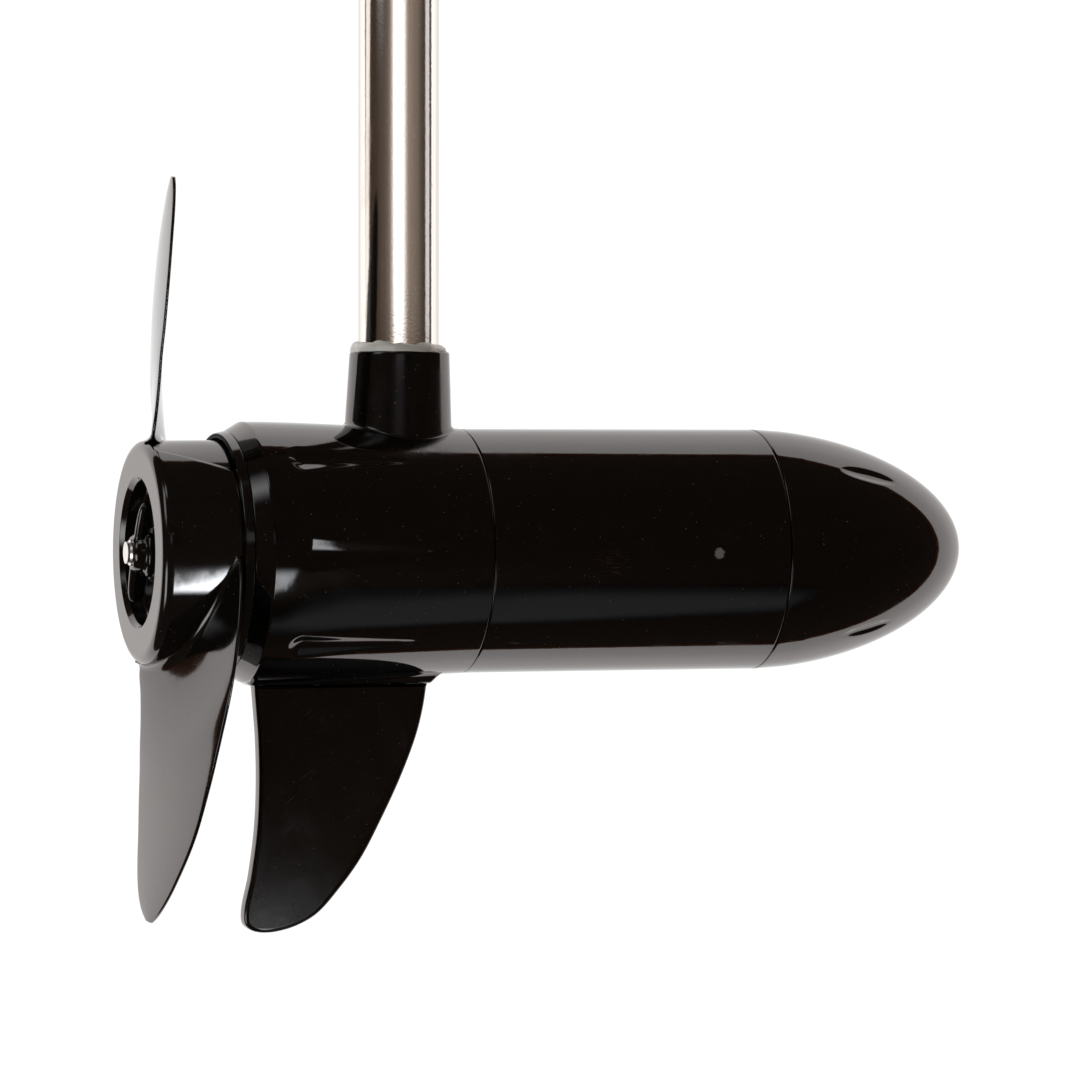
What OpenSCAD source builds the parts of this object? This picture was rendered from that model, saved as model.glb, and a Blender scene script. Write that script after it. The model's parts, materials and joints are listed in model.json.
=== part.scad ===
// Lower unit of an electric trolling motor: shaft tube, motor pod, skeg and propeller.
// Row frame: origin at the middle of the shaft tube's top end, +Z up the tube,
// +X from the propeller towards the nose. Most modules are drawn in the pod's own frame,
// whose origin is where the tube's axis meets the motor's axis, and at_pod() places them.

/* [Shaft tube] */
// Distance from the top of the tube down to the motor's axis
shaft_drop = 215; // [180:5:260]
// Outside radius of the tube
tube_r = 12.7; // [12.5:0.1:12.8]
// Wall of the tube
tube_wall = 1.2; // [1:0.1:1.4]
// Radius of the cross hole for the head's screw
head_hole_r = 3.1; // [2.6:0.1:3.3]
// Distance of that hole from the tube's top end
head_hole_down = 15; // [12:1:18]

/* [Pod] */
// Outside radius of the motor tube
pod_r = 38.5; // [38.3:0.1:38.8]
// Where the motor tube starts, forward of the shaft tube's axis
seam_rear = 19.5; // [19:0.5:20]
// Where the motor tube ends and the nose starts
seam_front = 117.6; // [117.4:0.1:117.8]
// Length of the nose beyond its seam
nose_len = 72; // [66:1:80]
// Rear face of the housing, behind the shaft tube's axis
housing_back = 56.5; // [56.3:0.1:56.6]
// Height of the collar's top above the motor's axis
collar_top = 62.6; // [58:0.2:64]

/* [Skeg] */
// Lowest point of the skeg below the motor's axis
skeg_depth = 118.5; // [112:0.5:124]
// Thickness of the skeg
skeg_t = 6.2; // [5.6:0.2:7]

/* [Propeller] */
// Radius of the blade tips
blade_tip_r = 117; // [113:1:120]
// Outside radius of the hub
hub_r = 34.8; // [34.4:0.1:34.9]
// Rear face of the hub, behind the shaft tube's axis
hub_back = 84.4; // [84:0.2:85]
// Radius of the recess round the nut
recess_r = 22.4; // [21:0.2:23.2]
// Reach of the nut's wings
wing_reach = 17.5; // [14:0.5:18]

/* [Motor] */
// Radius of the laminated core
core_r = 26.8; // [26.4:0.1:27]
// Number of slots in the core
slots = 12; // [9:1:14]
// Number of commutator bars
bars = 24; // [18:2:28]

/* [Hidden] */
$fn = 72;

// Colours
steel = "silver";
gloss_black = [0.05, 0.05, 0.06];
plastic_black = [0.09, 0.09, 0.10];
brass = [0.78, 0.62, 0.30];
copper = [0.72, 0.40, 0.22];
rubber_black = [0.14, 0.14, 0.14];

// Shaft tube in its collar
socket_floor = 40;                  // height of the shoulder that the tube stands on
bond_r = tube_r - 0.4;              // tube radius where it is turned down for the bond
socket_r = tube_r + 0.2;            // bore of the collar
bead_top = collar_top + 3.4;        // top of the sealant bead
wire_hole_r = 10.5;                 // passage from the tube into the housing
lead_r = 2.5;                       // power lead, over its insulation
lead_y = 7;                         // each lead's distance from the tube's axis

// Shells
tube_in = pod_r - 2.2;              // inside radius of the motor tube
spigot_r = tube_in - 0.1;           // the housing's and nose's spigots fit inside it
spigot_in = 32;                     // bore of the spigots
spigot_len = 7.5;
groove_r = spigot_r - 1.9;          // floor of the O-ring grooves
groove_w = 2.4;
cavity_r = 35.8;                    // inside radius of the rear housing
wall_front = 48.5;                  // inner face of the rear wall, behind the tube's axis
seal_r = 11;                        // shaft seals' outside radius
pad_z = -41.5;                      // underside of the skeg pad
flute_angles = [0, 45, -45, 180, 135, 225];
flute_back = -43.3;
nose_a = 1.81;                      // powers of the nose's curve, a little fuller
nose_b = 1.97;                      // than an ellipse
dimple_x = 152;                     // middle of the nose's dimples
dimple_depth = 0.75;

// Shaft and bearings
shaft_r = 6;
stud_r = 4;                         // threaded end of the shaft
stud_end = -88;
stud_root = -74;                    // shoulder between thread and shaft
thread_pitch = 1.25;
shaft_front = 121.5;
rear_bearing_x = -46;
rear_bearing = [6, 16, 10, 3];      // bore radius, outside radius, width, ball radius
front_bearing_x = 112;
front_bearing = [5, 15, 9, 2.6];
race_gap = 0.05;                    // ball to race
ball_count = 7;

// Through bolts
bolt_y = 30.5;
bolt_r = 2.5;
bolt_head_r = 4.25;
bolt_head_back = -51;               // under the bolt's head
bolt_end = 126;

// Armature
core_x = [32, 92];
bars_x = [5, 17];
bar_r = 14;
bar_root_r = 9.8;
riser_r = 16.5;
riser_end = 19.5;

// Brush gear
plate_x = [4, 6];
brush_x = [7.5, 14.5];
brush_half_y = 4.5;
brush_tail = 24;                    // outer end of a brush
holder_wall = 1;
holder_in = 15.4;                   // inner end of a holder
holder_out = 31;                    // outer end of a holder
screw_r = 1.5;
screw_head_r = 2.75;
lug_y = 8.5;
lug_z = 21;
plate_boss = 31;                    // radius at which the plate's two screws sit

// Propeller
pin_x = -62;
pin_r = 2;
pin_half = 12;
web_back = -78;                     // rear face of the web that the washer bears on
web_front = -75.2;
hub_front = -57;
hub_wall = 2.8;
boss_r = 10;

module at_pod() {
    translate([0, 0, -shaft_drop]) children();
}

// Turns local X, Y, Z into Y, Z, X, so that a shape drawn about Z lies along the motor.
module along_x() {
    rotate([90, 0, 90]) children();
}

// A turned solid about the motor's axis from [x, radius] points.
module turned(points) {
    along_x() rotate_extrude() polygon([for (p = points) [p[1], p[0]]]);
}

// A round bar along X at a place across the axis.
module bar_x(x0, x1, r, y = 0, z = 0) {
    translate([x0, y, z]) along_x() cylinder(h = x1 - x0, r = r);
}

// A ring along X.
module ring_x(x0, x1, r_in, r_out) {
    difference() {
        bar_x(x0, x1, r_out);
        bar_x(x0 - 1, x1 + 1, r_in);
    }
}

// A box from its lowest to its highest corner.
module block(low, high) {
    translate(low) cube(high - low);
}

// Both through bolts' places.
module both_sides(y) {
    for (side = [-1, 1]) translate([0, side * y, 0]) children();
}

// ---- Shaft tube -------------------------------------------------------------------------

module shaft_tube() {
    color(steel) at_pod() difference() {
        union() {
            translate([0, 0, bead_top]) cylinder(h = shaft_drop - bead_top, r = tube_r);
            translate([0, 0, socket_floor]) cylinder(h = bead_top - socket_floor, r = bond_r);
        }
        translate([0, 0, socket_floor - 1])
            cylinder(h = shaft_drop - socket_floor + 2, r = tube_r - tube_wall);
        translate([-tube_r - 1, 0, shaft_drop - head_hole_down])
            rotate([0, 90, 0]) cylinder(h = 2 * tube_r + 2, r = head_hole_r);
    }
}

module shaft_sealant() {
    color("beige") at_pod() rotate_extrude() polygon([
        [bond_r, socket_floor], [socket_r, socket_floor], [socket_r, collar_top],
        [tube_r + 2.9, collar_top], [tube_r + 2.7, collar_top + 1.2],
        [tube_r + 1.6, bead_top - 1], [tube_r + 0.4, bead_top], [bond_r, bead_top]]);
}

module shaft_grommet() {
    color(rubber_black) at_pod() difference() {
        translate([0, 0, 44]) cylinder(h = 10, r = tube_r - tube_wall - 0.05);
        both_sides(lead_y) translate([0, 0, 43]) cylinder(h = 12, r = lead_r + 0.05);
    }
}

module lead(side) {
    at_pod() translate([0, side * lead_y, 28])
        cylinder(h = shaft_drop - 16 - 28, r = lead_r);
}

module lead_red() {
    color("firebrick") lead(-1);
}

module lead_black() {
    color(rubber_black) lead(1);
}

module terminal(side) {
    color(brass) at_pod() translate([0, side * lead_y, shaft_drop]) {
        difference() {
            translate([0, 0, -22]) cylinder(h = 10, r = lead_r + 0.5);
            translate([0, 0, -23]) cylinder(h = 7, r = lead_r);
        }
        translate([0, 0, -12]) cylinder(h = 9, r = 2);
    }
}

module terminal_red() {
    terminal(-1);
}

module terminal_black() {
    terminal(1);
}

// ---- Rear housing -----------------------------------------------------------------------

// Outside of the housing, as [x, radius] points from its rear face to the motor tube.
housing_line = [[-housing_back, pod_r - 0.8], [-51.5, pod_r + 2.1], [-43.8, pod_r + 2.1],
    [-33.5, pod_r + 1.8], [-17.9, pod_r + 1.2], [seam_rear - 0.3, pod_r + 0.1],
    [seam_rear, pod_r - 0.2]];

module housing_body() {
    turned(concat([[-housing_back, 0]], housing_line,
        [[seam_rear, spigot_r], [seam_rear + spigot_len, spigot_r], [seam_rear + spigot_len, 0]]));
    translate([0, 0, 20]) cylinder(h = collar_top - 20, r1 = tube_r + 5.4, r2 = tube_r + 3.2);
    skeg_pad();
}

// Low pad that the skeg bolts to, with its sides sloping out into the housing.
pad_x = [-49.4, 10];
pad_section = [[-8, -38.4], [-5.4, -40.2], [-4.4, -40.9], [-4, pad_z], [4, pad_z],
    [4.4, -40.9], [5.4, -40.2], [8, -38.4], [0, -25]];

module skeg_pad() {
    translate([pad_x[0], 0, 0]) along_x()
        linear_extrude(pad_x[1] - pad_x[0]) polygon(pad_section);
}

// One flute: a round cutter that is deep at the rear end and runs out at the front.
module flute(angle) {
    rotate([angle, 0, 0]) translate([flute_back, -pod_r - 4.9, 0])
        rotate([0, 90, -3.2]) cylinder(h = 64, r = 5);
}

module housing_inside() {
    turned([[-wall_front, 0], [-wall_front, cavity_r], [seam_rear - 2, cavity_r],
        [seam_rear, spigot_in], [seam_rear + spigot_len + 1, spigot_in],
        [seam_rear + spigot_len + 1, 0]]);
}

module rear_housing() {
    color(gloss_black) at_pod() difference() {
        union() {
            difference() {
                housing_body();
                housing_inside();
            }
            bar_x(-wall_front - 1, rear_bearing_x + rear_bearing[2] + 0.5, rear_bearing[1] + 4);
            for (a = [45, 225]) rotate([a, 0, 0])
                bar_x(-wall_front - 1, plate_x[0], 5, plate_boss, 0);
        }
        // seal bore, then the bearing's pocket
        bar_x(-housing_back - 1, 0, seal_r);
        bar_x(rear_bearing_x, 0, rear_bearing[1]);
        // O-ring groove
        ring_x(seam_rear + 2.5, seam_rear + 2.5 + groove_w, groove_r, spigot_r + 1);
        // groove that the trim ring presses into
        ring_x(-housing_back - 1, -housing_back + 3, 35.6, 36.9);
        // through bolts
        both_sides(bolt_y) {
            bar_x(-housing_back - 1, bolt_head_back, bolt_head_r + 0.25);
            bar_x(-housing_back - 1, -40, bolt_r + 0.25);
            bar_x(seam_rear - 4, seam_rear + spigot_len + 1, bolt_r + 0.25);
        }
        // brush plate's screws
        for (a = [45, 225]) rotate([a, 0, 0]) bar_x(-8, 10, screw_r, plate_boss, 0);
        // tube's socket and the leads' passage
        translate([0, 0, socket_floor]) cylinder(h = 30, r = socket_r);
        translate([0, 0, 25]) cylinder(h = 20, r = wire_hole_r);
        // skeg's tongue and screws
        block([-44.2, -1.7, pad_z - 1], [2.2, 1.7, pad_z + 3.2]);
        for (x = skeg_screw_x) translate([x, 0, 0]) {
            translate([0, 0, -36.6]) cylinder(h = 6, r = 4);
            translate([0, 0, -45]) cylinder(h = 10, r = 2.2);
        }
        for (a = flute_angles) flute(a);
    }
}

module rear_trim_ring() {
    color(plastic_black) at_pod() turned([
        [-housing_back - 3, 35.6], [-housing_back - 3, 37], [-housing_back, 37.7],
        [-housing_back, 36.9], [-housing_back + 3, 36.9], [-housing_back + 3, 35.6]]);
}

// ---- Skeg -------------------------------------------------------------------------------

skeg_screw_x = [-27, -4];
skeg_edge = 1.4;                    // rounding of the skeg's edges

// Outline below the pad: an almost straight rear edge and a swept front edge.
skeg_line = [[-47.6, pad_z - 0.2], [-46.3, -58], [-46, -72], [-46.6, -86], [-48.6, -101],
    [-50.8, -112.5], [-50.4, -115.8], [-48.4, -117.6], [-44.2, -skeg_depth],
    [-38.5, -117.9], [-33, -116.2], [-27.3, -113], [-20.3, -105.7], [-13.2, -96.4],
    [-6.2, -83.7], [0.3, -70.2], [5.3, -57.3], [8.6, pad_z - 0.2]];

module skeg() {
    color(plastic_black) at_pod() difference() {
        union() {
            intersection() {
                minkowski() {
                    rotate([90, 0, 0]) linear_extrude(skeg_t - 2 * skeg_edge, center = true)
                        offset(delta = -skeg_edge) polygon(concat(skeg_line,
                            [[8.6, pad_z + 4], [-47.6, pad_z + 4]]));
                    sphere(r = skeg_edge, $fn = 16);
                }
                block([-60, -10, -130], [20, 10, pad_z - 0.1]);
            }
            block([-44, -1.5, pad_z - 2], [2, 1.5, pad_z + 3]);
        }
        for (x = skeg_screw_x) translate([x, 0, -53]) cylinder(h = 20, r = 2);
    }
}

module skeg_screws() {
    color(steel) at_pod() for (x = skeg_screw_x) translate([x, 0, 0]) {
        translate([0, 0, -36.6]) cylinder(h = 2.2, r = 3.5);
        translate([0, 0, -52]) cylinder(h = 16, r = 2);
    }
}

// ---- Motor tube and nose ----------------------------------------------------------------

module motor_tube() {
    color(gloss_black) at_pod() turned([
        [seam_rear, tube_in], [seam_rear, pod_r - 0.3], [seam_rear + 0.3, pod_r],
        [seam_front - 0.3, pod_r], [seam_front, pod_r - 0.3], [seam_front, tube_in]]);
}

module magnet(middle) {
    color("dimgray") at_pod() rotate([middle - 68, 0, 0]) translate([seam_rear + 8, 0, 0])
        along_x() rotate_extrude(angle = 136) translate([28, 0]) square([tube_in - 28.05, 76]);
}

module magnet_upper() {
    magnet(90);
}

module magnet_lower() {
    magnet(270);
}

// Points of the nose's curve for a given start radius and length.
function nose_curve(r, len, steps) = [for (i = [0:steps])
    let (t = 1 - pow(1 - i / steps, 2))
    [seam_front + len * t, i == steps ? 0 : r * pow(1 - pow(t, nose_a), 1 / nose_b)]];

function nose_radius(x) = pod_r * pow(1 - pow((x - seam_front) / nose_len, nose_a), 1 / nose_b);

// A straight round cutter laid along the nose's slope, so that the dimple is lens shaped.
module nose_dimple(angle) {
    cutter = 4.5;
    slope = atan(nose_radius(dimple_x - 0.5) - nose_radius(dimple_x + 0.5));
    rotate([angle, 0, 0]) translate([dimple_x, -nose_radius(dimple_x), 0])
        rotate([0, 90, slope]) translate([0, dimple_depth - cutter, -18])
            cylinder(h = 36, r = cutter);
}

module nose_cone() {
    rib_in = front_bearing[1] + 2;
    color(gloss_black) at_pod() difference() {
        union() {
            difference() {
                union() {
                    turned(concat([[seam_front, 0], [seam_front, pod_r - 0.3]],
                        [for (p = nose_curve(pod_r, nose_len, 22)) if (p[0] > seam_front + 0.3) p]));
                    bar_x(seam_front - spigot_len, seam_front + 1, spigot_r);
                }
                turned(concat([[seam_front - spigot_len - 1, 0],
                    [seam_front - spigot_len - 1, spigot_in], [seam_front + 4, spigot_in]],
                    [for (p = nose_curve(pod_r - 4, nose_len - 5, 10))
                        if (p[0] > seam_front + 6) p]));
            }
            bar_x(front_bearing_x, front_bearing_x + front_bearing[2] + 4, rib_in + 2.5);
            for (a = [0:45:135]) rotate([a, 0, 0])
                block([front_bearing_x, -34, -2.5], [front_bearing_x + 14, 34, 2.5]);
            both_sides(bolt_y) bar_x(front_bearing_x, front_bearing_x + 20, 5);
        }
        bar_x(front_bearing_x - 3, front_bearing_x + front_bearing[2] + 1, front_bearing[1]);
        bar_x(front_bearing_x, front_bearing_x + 30, 7);
        both_sides(bolt_y) bar_x(front_bearing_x - 3, bolt_end + 1, bolt_r);
        ring_x(seam_front - 2.5 - groove_w, seam_front - 2.5, groove_r, spigot_r + 1);
        for (a = flute_angles) nose_dimple(a);
    }
}

module o_ring(x) {
    color(rubber_black) at_pod() translate([x, 0, 0]) along_x()
        rotate_extrude() translate([groove_r + 1, 0]) circle(r = 0.95, $fn = 24);
}

module o_ring_rear() {
    o_ring(seam_rear + 2.5 + groove_w / 2);
}

module o_ring_front() {
    o_ring(seam_front - 2.5 - groove_w / 2);
}

module through_bolts() {
    color(steel) at_pod() both_sides(bolt_y) difference() {
        union() {
            bar_x(bolt_head_back - 4.8, bolt_head_back - 1, bolt_head_r);
            bar_x(bolt_head_back - 2, bolt_end, bolt_r);
        }
        translate([bolt_head_back - 5, 0, 0]) along_x() cylinder(h = 2.7, r = 2.3, $fn = 6);
    }
}

module bolt_seals() {
    color(rubber_black) at_pod() both_sides(bolt_y) difference() {
        bar_x(bolt_head_back - 1, bolt_head_back, bolt_head_r);
        bar_x(bolt_head_back - 2, bolt_head_back + 1, bolt_r);
    }
}

// ---- Shaft, seals and bearings ----------------------------------------------------------

// A lip seal: outer wall, rear web and a lip that runs on the shaft.
module lip_seal(x) {
    lip = shaft_r + 0.04;
    color(rubber_black) at_pod() turned([
        [x, lip + 1.2], [x, seal_r], [x + 4.5, seal_r], [x + 4.5, seal_r - 1.4],
        [x + 1.6, seal_r - 1.4], [x + 1.6, lip + 1.6], [x + 3.6, lip + 1.2],
        [x + 3.6, lip + 0.3], [x + 3, lip], [x + 2, lip + 0.5]]);
}

module shaft_seal_outer() {
    lip_seal(-56);
}

module shaft_seal_inner() {
    lip_seal(-51);
}

function pitch_r(b) = (b[0] + b[1]) / 2;

// An outer or inner race with its ball track.
module race(x, b, outer) {
    gap = b[3] * 0.4;
    r_in = outer ? pitch_r(b) + b[3] - gap : b[0];
    r_out = outer ? b[1] : pitch_r(b) - b[3] + gap;
    color(steel) at_pod() difference() {
        ring_x(x, x + b[2], r_in, r_out);
        translate([x + b[2] / 2, 0, 0]) along_x() rotate_extrude()
            translate([pitch_r(b), 0]) circle(r = b[3] + race_gap, $fn = 32);
    }
}

module balls(x, b, r) {
    for (i = [0:ball_count - 1]) rotate([360 * i / ball_count, 0, 0])
        translate([x + b[2] / 2, pitch_r(b), 0]) sphere(r = r, $fn = 32);
}

module bearing_cage(x, b) {
    color(brass) at_pod() difference() {
        ring_x(x + b[2] / 2 - b[3] - 0.5, x + b[2] / 2 + b[3] + 0.5,
            pitch_r(b) - 0.8, pitch_r(b) + 0.8);
        for (i = [0:ball_count - 1]) rotate([360 * i / ball_count, 0, 0])
            translate([x + b[2] / 2, pitch_r(b) - 2.5, 0]) rotate([-90, 0, 0])
                cylinder(h = 5, r = b[3] + race_gap);
    }
}

module rear_bearing_outer() {
    race(rear_bearing_x, rear_bearing, true);
}

module rear_bearing_inner() {
    race(rear_bearing_x, rear_bearing, false);
}

module rear_bearing_balls() {
    color(steel) at_pod() balls(rear_bearing_x, rear_bearing, rear_bearing[3]);
}

module rear_bearing_cage() {
    bearing_cage(rear_bearing_x, rear_bearing);
}

module front_bearing_outer() {
    race(front_bearing_x, front_bearing, true);
}

module front_bearing_inner() {
    race(front_bearing_x, front_bearing, false);
}

module front_bearing_balls() {
    color(steel) at_pod() balls(front_bearing_x, front_bearing, front_bearing[3]);
}

module front_bearing_cage() {
    bearing_cage(front_bearing_x, front_bearing);
}

// A slightly coned spring washer behind the front bearing.
module preload_washer() {
    x = front_bearing_x + front_bearing[2];
    color(steel) at_pod() turned([[x, 14.6], [x + 0.5, 14.6], [x + 1, 11.5], [x + 0.5, 11.5]]);
}

function thread_points() = [for (i = [0:9]) let (x = stud_end + 1.3 + i * thread_pitch)
    for (p = [[x - thread_pitch / 2, stud_r - 0.55], [x, stud_r]]) p];

module motor_shaft() {
    color(steel) at_pod() difference() {
        turned(concat([[stud_end, 0], [stud_end, stud_r - 0.6]], thread_points(),
            [[stud_root, stud_r - 0.5], [stud_root, shaft_r], [-35.6, shaft_r], [-35.6, 5.6],
            [-34.4, 5.6], [-34.4, shaft_r], [front_bearing_x, shaft_r],
            [front_bearing_x, front_bearing[0]], [shaft_front, front_bearing[0]],
            [shaft_front, 0]]));
        translate([pin_x, 0, -20]) cylinder(h = 40, r = pin_r);
    }
}

module shaft_circlip() {
    color(steel) at_pod() translate([-35.5, 0, 0]) along_x()
        rotate_extrude(angle = 300) translate([5.65, 0]) square([2.8, 1]);
}

module drive_pin() {
    color(steel) at_pod() translate([pin_x, 0, -pin_half]) cylinder(h = 2 * pin_half, r = pin_r);
}

// ---- Armature ---------------------------------------------------------------------------

// Slot shape, wider below the tooth tips. grow makes it larger or smaller all round.
module slot_space(x0, x1, grow) {
    block([x0, -2.4 - grow, 14], [x1, 2.4 + grow, 25.4]);
}

module armature_core() {
    color("slategray") at_pod() difference() {
        ring_x(core_x[0], core_x[1], shaft_r, core_r);
        for (i = [0:slots - 1]) rotate([360 * i / slots, 0, 0]) {
            slot_space(core_x[0] - 1, core_x[1] + 1, 0);
            block([core_x[0] - 1, -1.1, 25], [core_x[1] + 1, 1.1, 30]);
        }
    }
}

module armature_windings() {
    color(copper) at_pod() {
        for (i = [0:slots - 1]) rotate([360 * i / slots, 0, 0])
            block([core_x[0] - 3, -2.3, 14.1], [core_x[1] + 3, 2.3, 25.2]);
        turned([[core_x[0] - 10, 12.5], [core_x[0] - 10, 20], [core_x[0] - 7, 24],
            [core_x[0] - 2, 25.4], [core_x[0] - 0.5, 25], [core_x[0] - 0.5, 9.5],
            [core_x[0] - 6, 9.5]]);
        turned([[core_x[1] + 0.5, 9.5], [core_x[1] + 0.5, 25], [core_x[1] + 2, 25.4],
            [core_x[1] + 8, 24], [core_x[1] + 11, 20], [core_x[1] + 11, 12.5],
            [core_x[1] + 7, 9.5]]);
    }
}

module slot_wedges() {
    color("tan") at_pod() for (i = [0:slots - 1]) rotate([360 * i / slots, 0, 0])
        block([core_x[0], -1, 25.4], [core_x[1], 1, core_r - 0.3]);
}

module commutator_hub() {
    color("saddlebrown") at_pod() ring_x(bars_x[0] - 1, riser_end, shaft_r, bar_root_r);
}

module commutator_bars() {
    color(copper) at_pod() difference() {
        turned([[bars_x[0], bar_root_r], [bars_x[0], bar_r], [bars_x[1], bar_r],
            [bars_x[1], riser_r], [riser_end, riser_r], [riser_end, bar_root_r]]);
        for (i = [0:bars - 1]) rotate([360 * (i + 0.5) / bars, 0, 0])
            block([bars_x[0] - 1, -0.3, 5], [riser_end + 1, 0.3, riser_r + 2]);
    }
}

// ---- Propeller --------------------------------------------------------------------------

// Blade rows: radius, leading and trailing edge angles from the blade's middle line,
// x on that line, advance in x per degree, and thickness. The blade leans back like a scythe.
blade_rows = [
    [33, 92, -10, -79.2, 0.206, 4.6], [38, 85, -13, -78.6, 0.206, 4.2],
    [45, 75, -12.8, -78, 0.206, 3.6], [54, 63, -12.5, -77.6, 0.206, 3.2],
    [62, 52, -12.5, -77.4, 0.206, 3], [70, 38.5, -12.7, -76.9, 0.21, 2.8],
    [80, 26, -12.9, -76.4, 0.22, 2.6], [90, 16, -12.8, -75.9, 0.235, 2.4],
    [100, 6.8, -12.7, -75.5, 0.25, 2.2], [106, 2, -12.4, -75.2, 0.26, 2],
    [111, -1.8, -11.6, -75, 0.265, 1.8], [114.5, -4.6, -10.3, -74.8, 0.27, 1.6],
    [116.5, -6.4, -8.8, -74.7, 0.27, 1.3]];
blade_steps = 10;                   // points across each face
blade_edge = 0.45;                  // half thickness at the edges

// One closed section of the blade on its cylinder, rear face first and then the front face.
function blade_section(row) = [for (k = [0:2 * blade_steps + 1])
    let (rear = k <= blade_steps,
        s = (rear ? k : 2 * blade_steps + 1 - k) / blade_steps,
        a = row[1] + (row[2] - row[1]) * s,
        half = blade_edge + (row[5] / 2 - blade_edge) * pow(sin(180 * s), 0.7),
        r = row[0] * blade_tip_r / 117)
    [row[3] + row[4] * a + (rear ? -half : half), -r * sin(a), -r * cos(a)]];

module blade() {
    ring = 2 * blade_steps + 2;
    rings = len(blade_rows);
    points = [for (row = blade_rows) for (p = blade_section(row)) p];
    sides = [for (i = [0:rings - 2]) for (k = [0:ring - 1]) let (n = (k + 1) % ring)
        for (f = [[i * ring + k, (i + 1) * ring + n, i * ring + n],
            [i * ring + k, (i + 1) * ring + k, (i + 1) * ring + n]]) f];
    caps = [for (i = [0:blade_steps - 1]) for (f = [
        [i, i + 1, 2 * blade_steps + 1 - i],
        [i + 1, 2 * blade_steps - i, 2 * blade_steps + 1 - i]]) f];
    top = ring * (rings - 1);
    tip = [for (f = caps) [top + f[0], top + f[2], top + f[1]]];
    polyhedron(points = points, faces = concat(sides, caps, tip));
}

module propeller() {
    rim = 3;
    color(plastic_black) at_pod() difference() {
        union() {
            turned(concat([[hub_front, hub_r]],
                [for (a = [0:15:90]) [-hub_back + rim - rim * sin(a), hub_r - rim + rim * cos(a)]],
                [[-hub_back, recess_r + 0.6], [-hub_back + 0.6, recess_r], [web_back, recess_r],
                [web_back, stud_r + 0.2], [stud_root, stud_r + 0.2], [stud_root, shaft_r + 0.05],
                [-60, shaft_r + 0.05], [-60, boss_r], [web_front, boss_r],
                [web_front, recess_r + 2.6], [-hub_back + 3, recess_r + 2.6],
                [-hub_back + 3, hub_r - hub_wall], [hub_front, hub_r - hub_wall]]));
            for (i = [0:5]) rotate([60 * i, 0, 0])
                block([web_front - 1, boss_r - 1, -1.1], [-60, hub_r - 1, 1.1]);
            for (a = [0, 180]) rotate([a, 0, 0]) blade();
        }
        block([pin_x - pin_r - 0.1, -pin_r - 0.15, -pin_half - 0.5],
            [-55, pin_r + 0.15, pin_half + 0.5]);
    }
}

module prop_washer() {
    color(steel) at_pod() ring_x(web_back - 1.6, web_back, stud_r + 0.3, 9);
}

module prop_nut() {
    seat = web_back - 1.6;
    color(plastic_black) at_pod() difference() {
        union() {
            bar_x(-hub_back - 2, seat - 1, 5.7);
            bar_x(seat - 3, seat, 7.7);
            rotate([30, 0, 0]) hull() {
                block([-hub_back - 0.6, -1.2, -wing_reach + 2], [seat - 0.6, 1.2, wing_reach - 2]);
                block([seat - 2.6, -1.6, -wing_reach], [seat - 0.8, 1.6, wing_reach]);
            }
        }
        bar_x(-hub_back - 4, seat + 1, stud_r + 0.05);
    }
}

// ---- Brush gear -------------------------------------------------------------------------

module brush_plate() {
    color("peru") at_pod() difference() {
        ring_x(plate_x[0], plate_x[1], 17.5, 34.5);
        both_sides(bolt_y) bar_x(plate_x[0] - 1, plate_x[1] + 1, bolt_r + 2);
        for (a = [45, 225]) rotate([a, 0, 0])
            bar_x(plate_x[0] - 1, plate_x[1] + 1, screw_r + 0.1, plate_boss, 0);
        for (p = lug_places)
            bar_x(plate_x[0] - 1, plate_x[1] + 1, screw_r + 0.1, p[0], p[1]);
    }
}

module brush_plate_screws() {
    color(steel) at_pod() for (a = [45, 225]) rotate([a, 0, 0]) {
        bar_x(plate_x[1], plate_x[1] + 2, screw_head_r, plate_boss, 0);
        bar_x(-6, plate_x[1] + 1, screw_r, plate_boss, 0);
    }
}

// A holder on the upper side of the commutator: a box that is open towards it, closed by
// a cap at its outer end, with a slot for the pigtail and a foot under its screw.
module brush_holder(foot_side, foot_x) {
    inner = 0.1;
    difference() {
        union() {
            block([plate_x[1], -brush_half_y - 1.1, holder_in],
                [brush_x[1] + 1.5, brush_half_y + 1.1, holder_out]);
            block([foot_x, foot_side > 0 ? brush_half_y : -lug_y - 3.5, lug_z - 3.5],
                [foot_x + 0.8, foot_side > 0 ? lug_y + 3.5 : -brush_half_y, lug_z + 3.5]);
        }
        block([brush_x[0] - inner, -brush_half_y - inner, holder_in - 1],
            [brush_x[1] + inner, brush_half_y + inner, holder_out - holder_wall]);
        block([brush_x[1] - 1, -1.4, 18], [brush_x[1] + 3, 1.4, holder_out - 3]);
        bar_x(foot_x - 1, foot_x + 2, screw_r + 0.05, foot_side * lug_y, lug_z);
    }
}

module brush_holder_upper() {
    color(brass) at_pod() brush_holder(-1, plate_x[1]);
}

module brush_holder_lower() {
    color(brass) at_pod() mirror([0, 0, 1]) brush_holder(1, plate_x[1] + 0.8);
}

module brush() {
    difference() {
        block([brush_x[0], -brush_half_y, 10], [brush_x[1], brush_half_y, brush_tail]);
        bar_x(0, 30, bar_r + 0.05);
    }
}

module brush_upper() {
    color("darkslategray") at_pod() brush();
}

module brush_lower() {
    color("darkslategray") at_pod() mirror([0, 0, 1]) brush();
}

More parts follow.
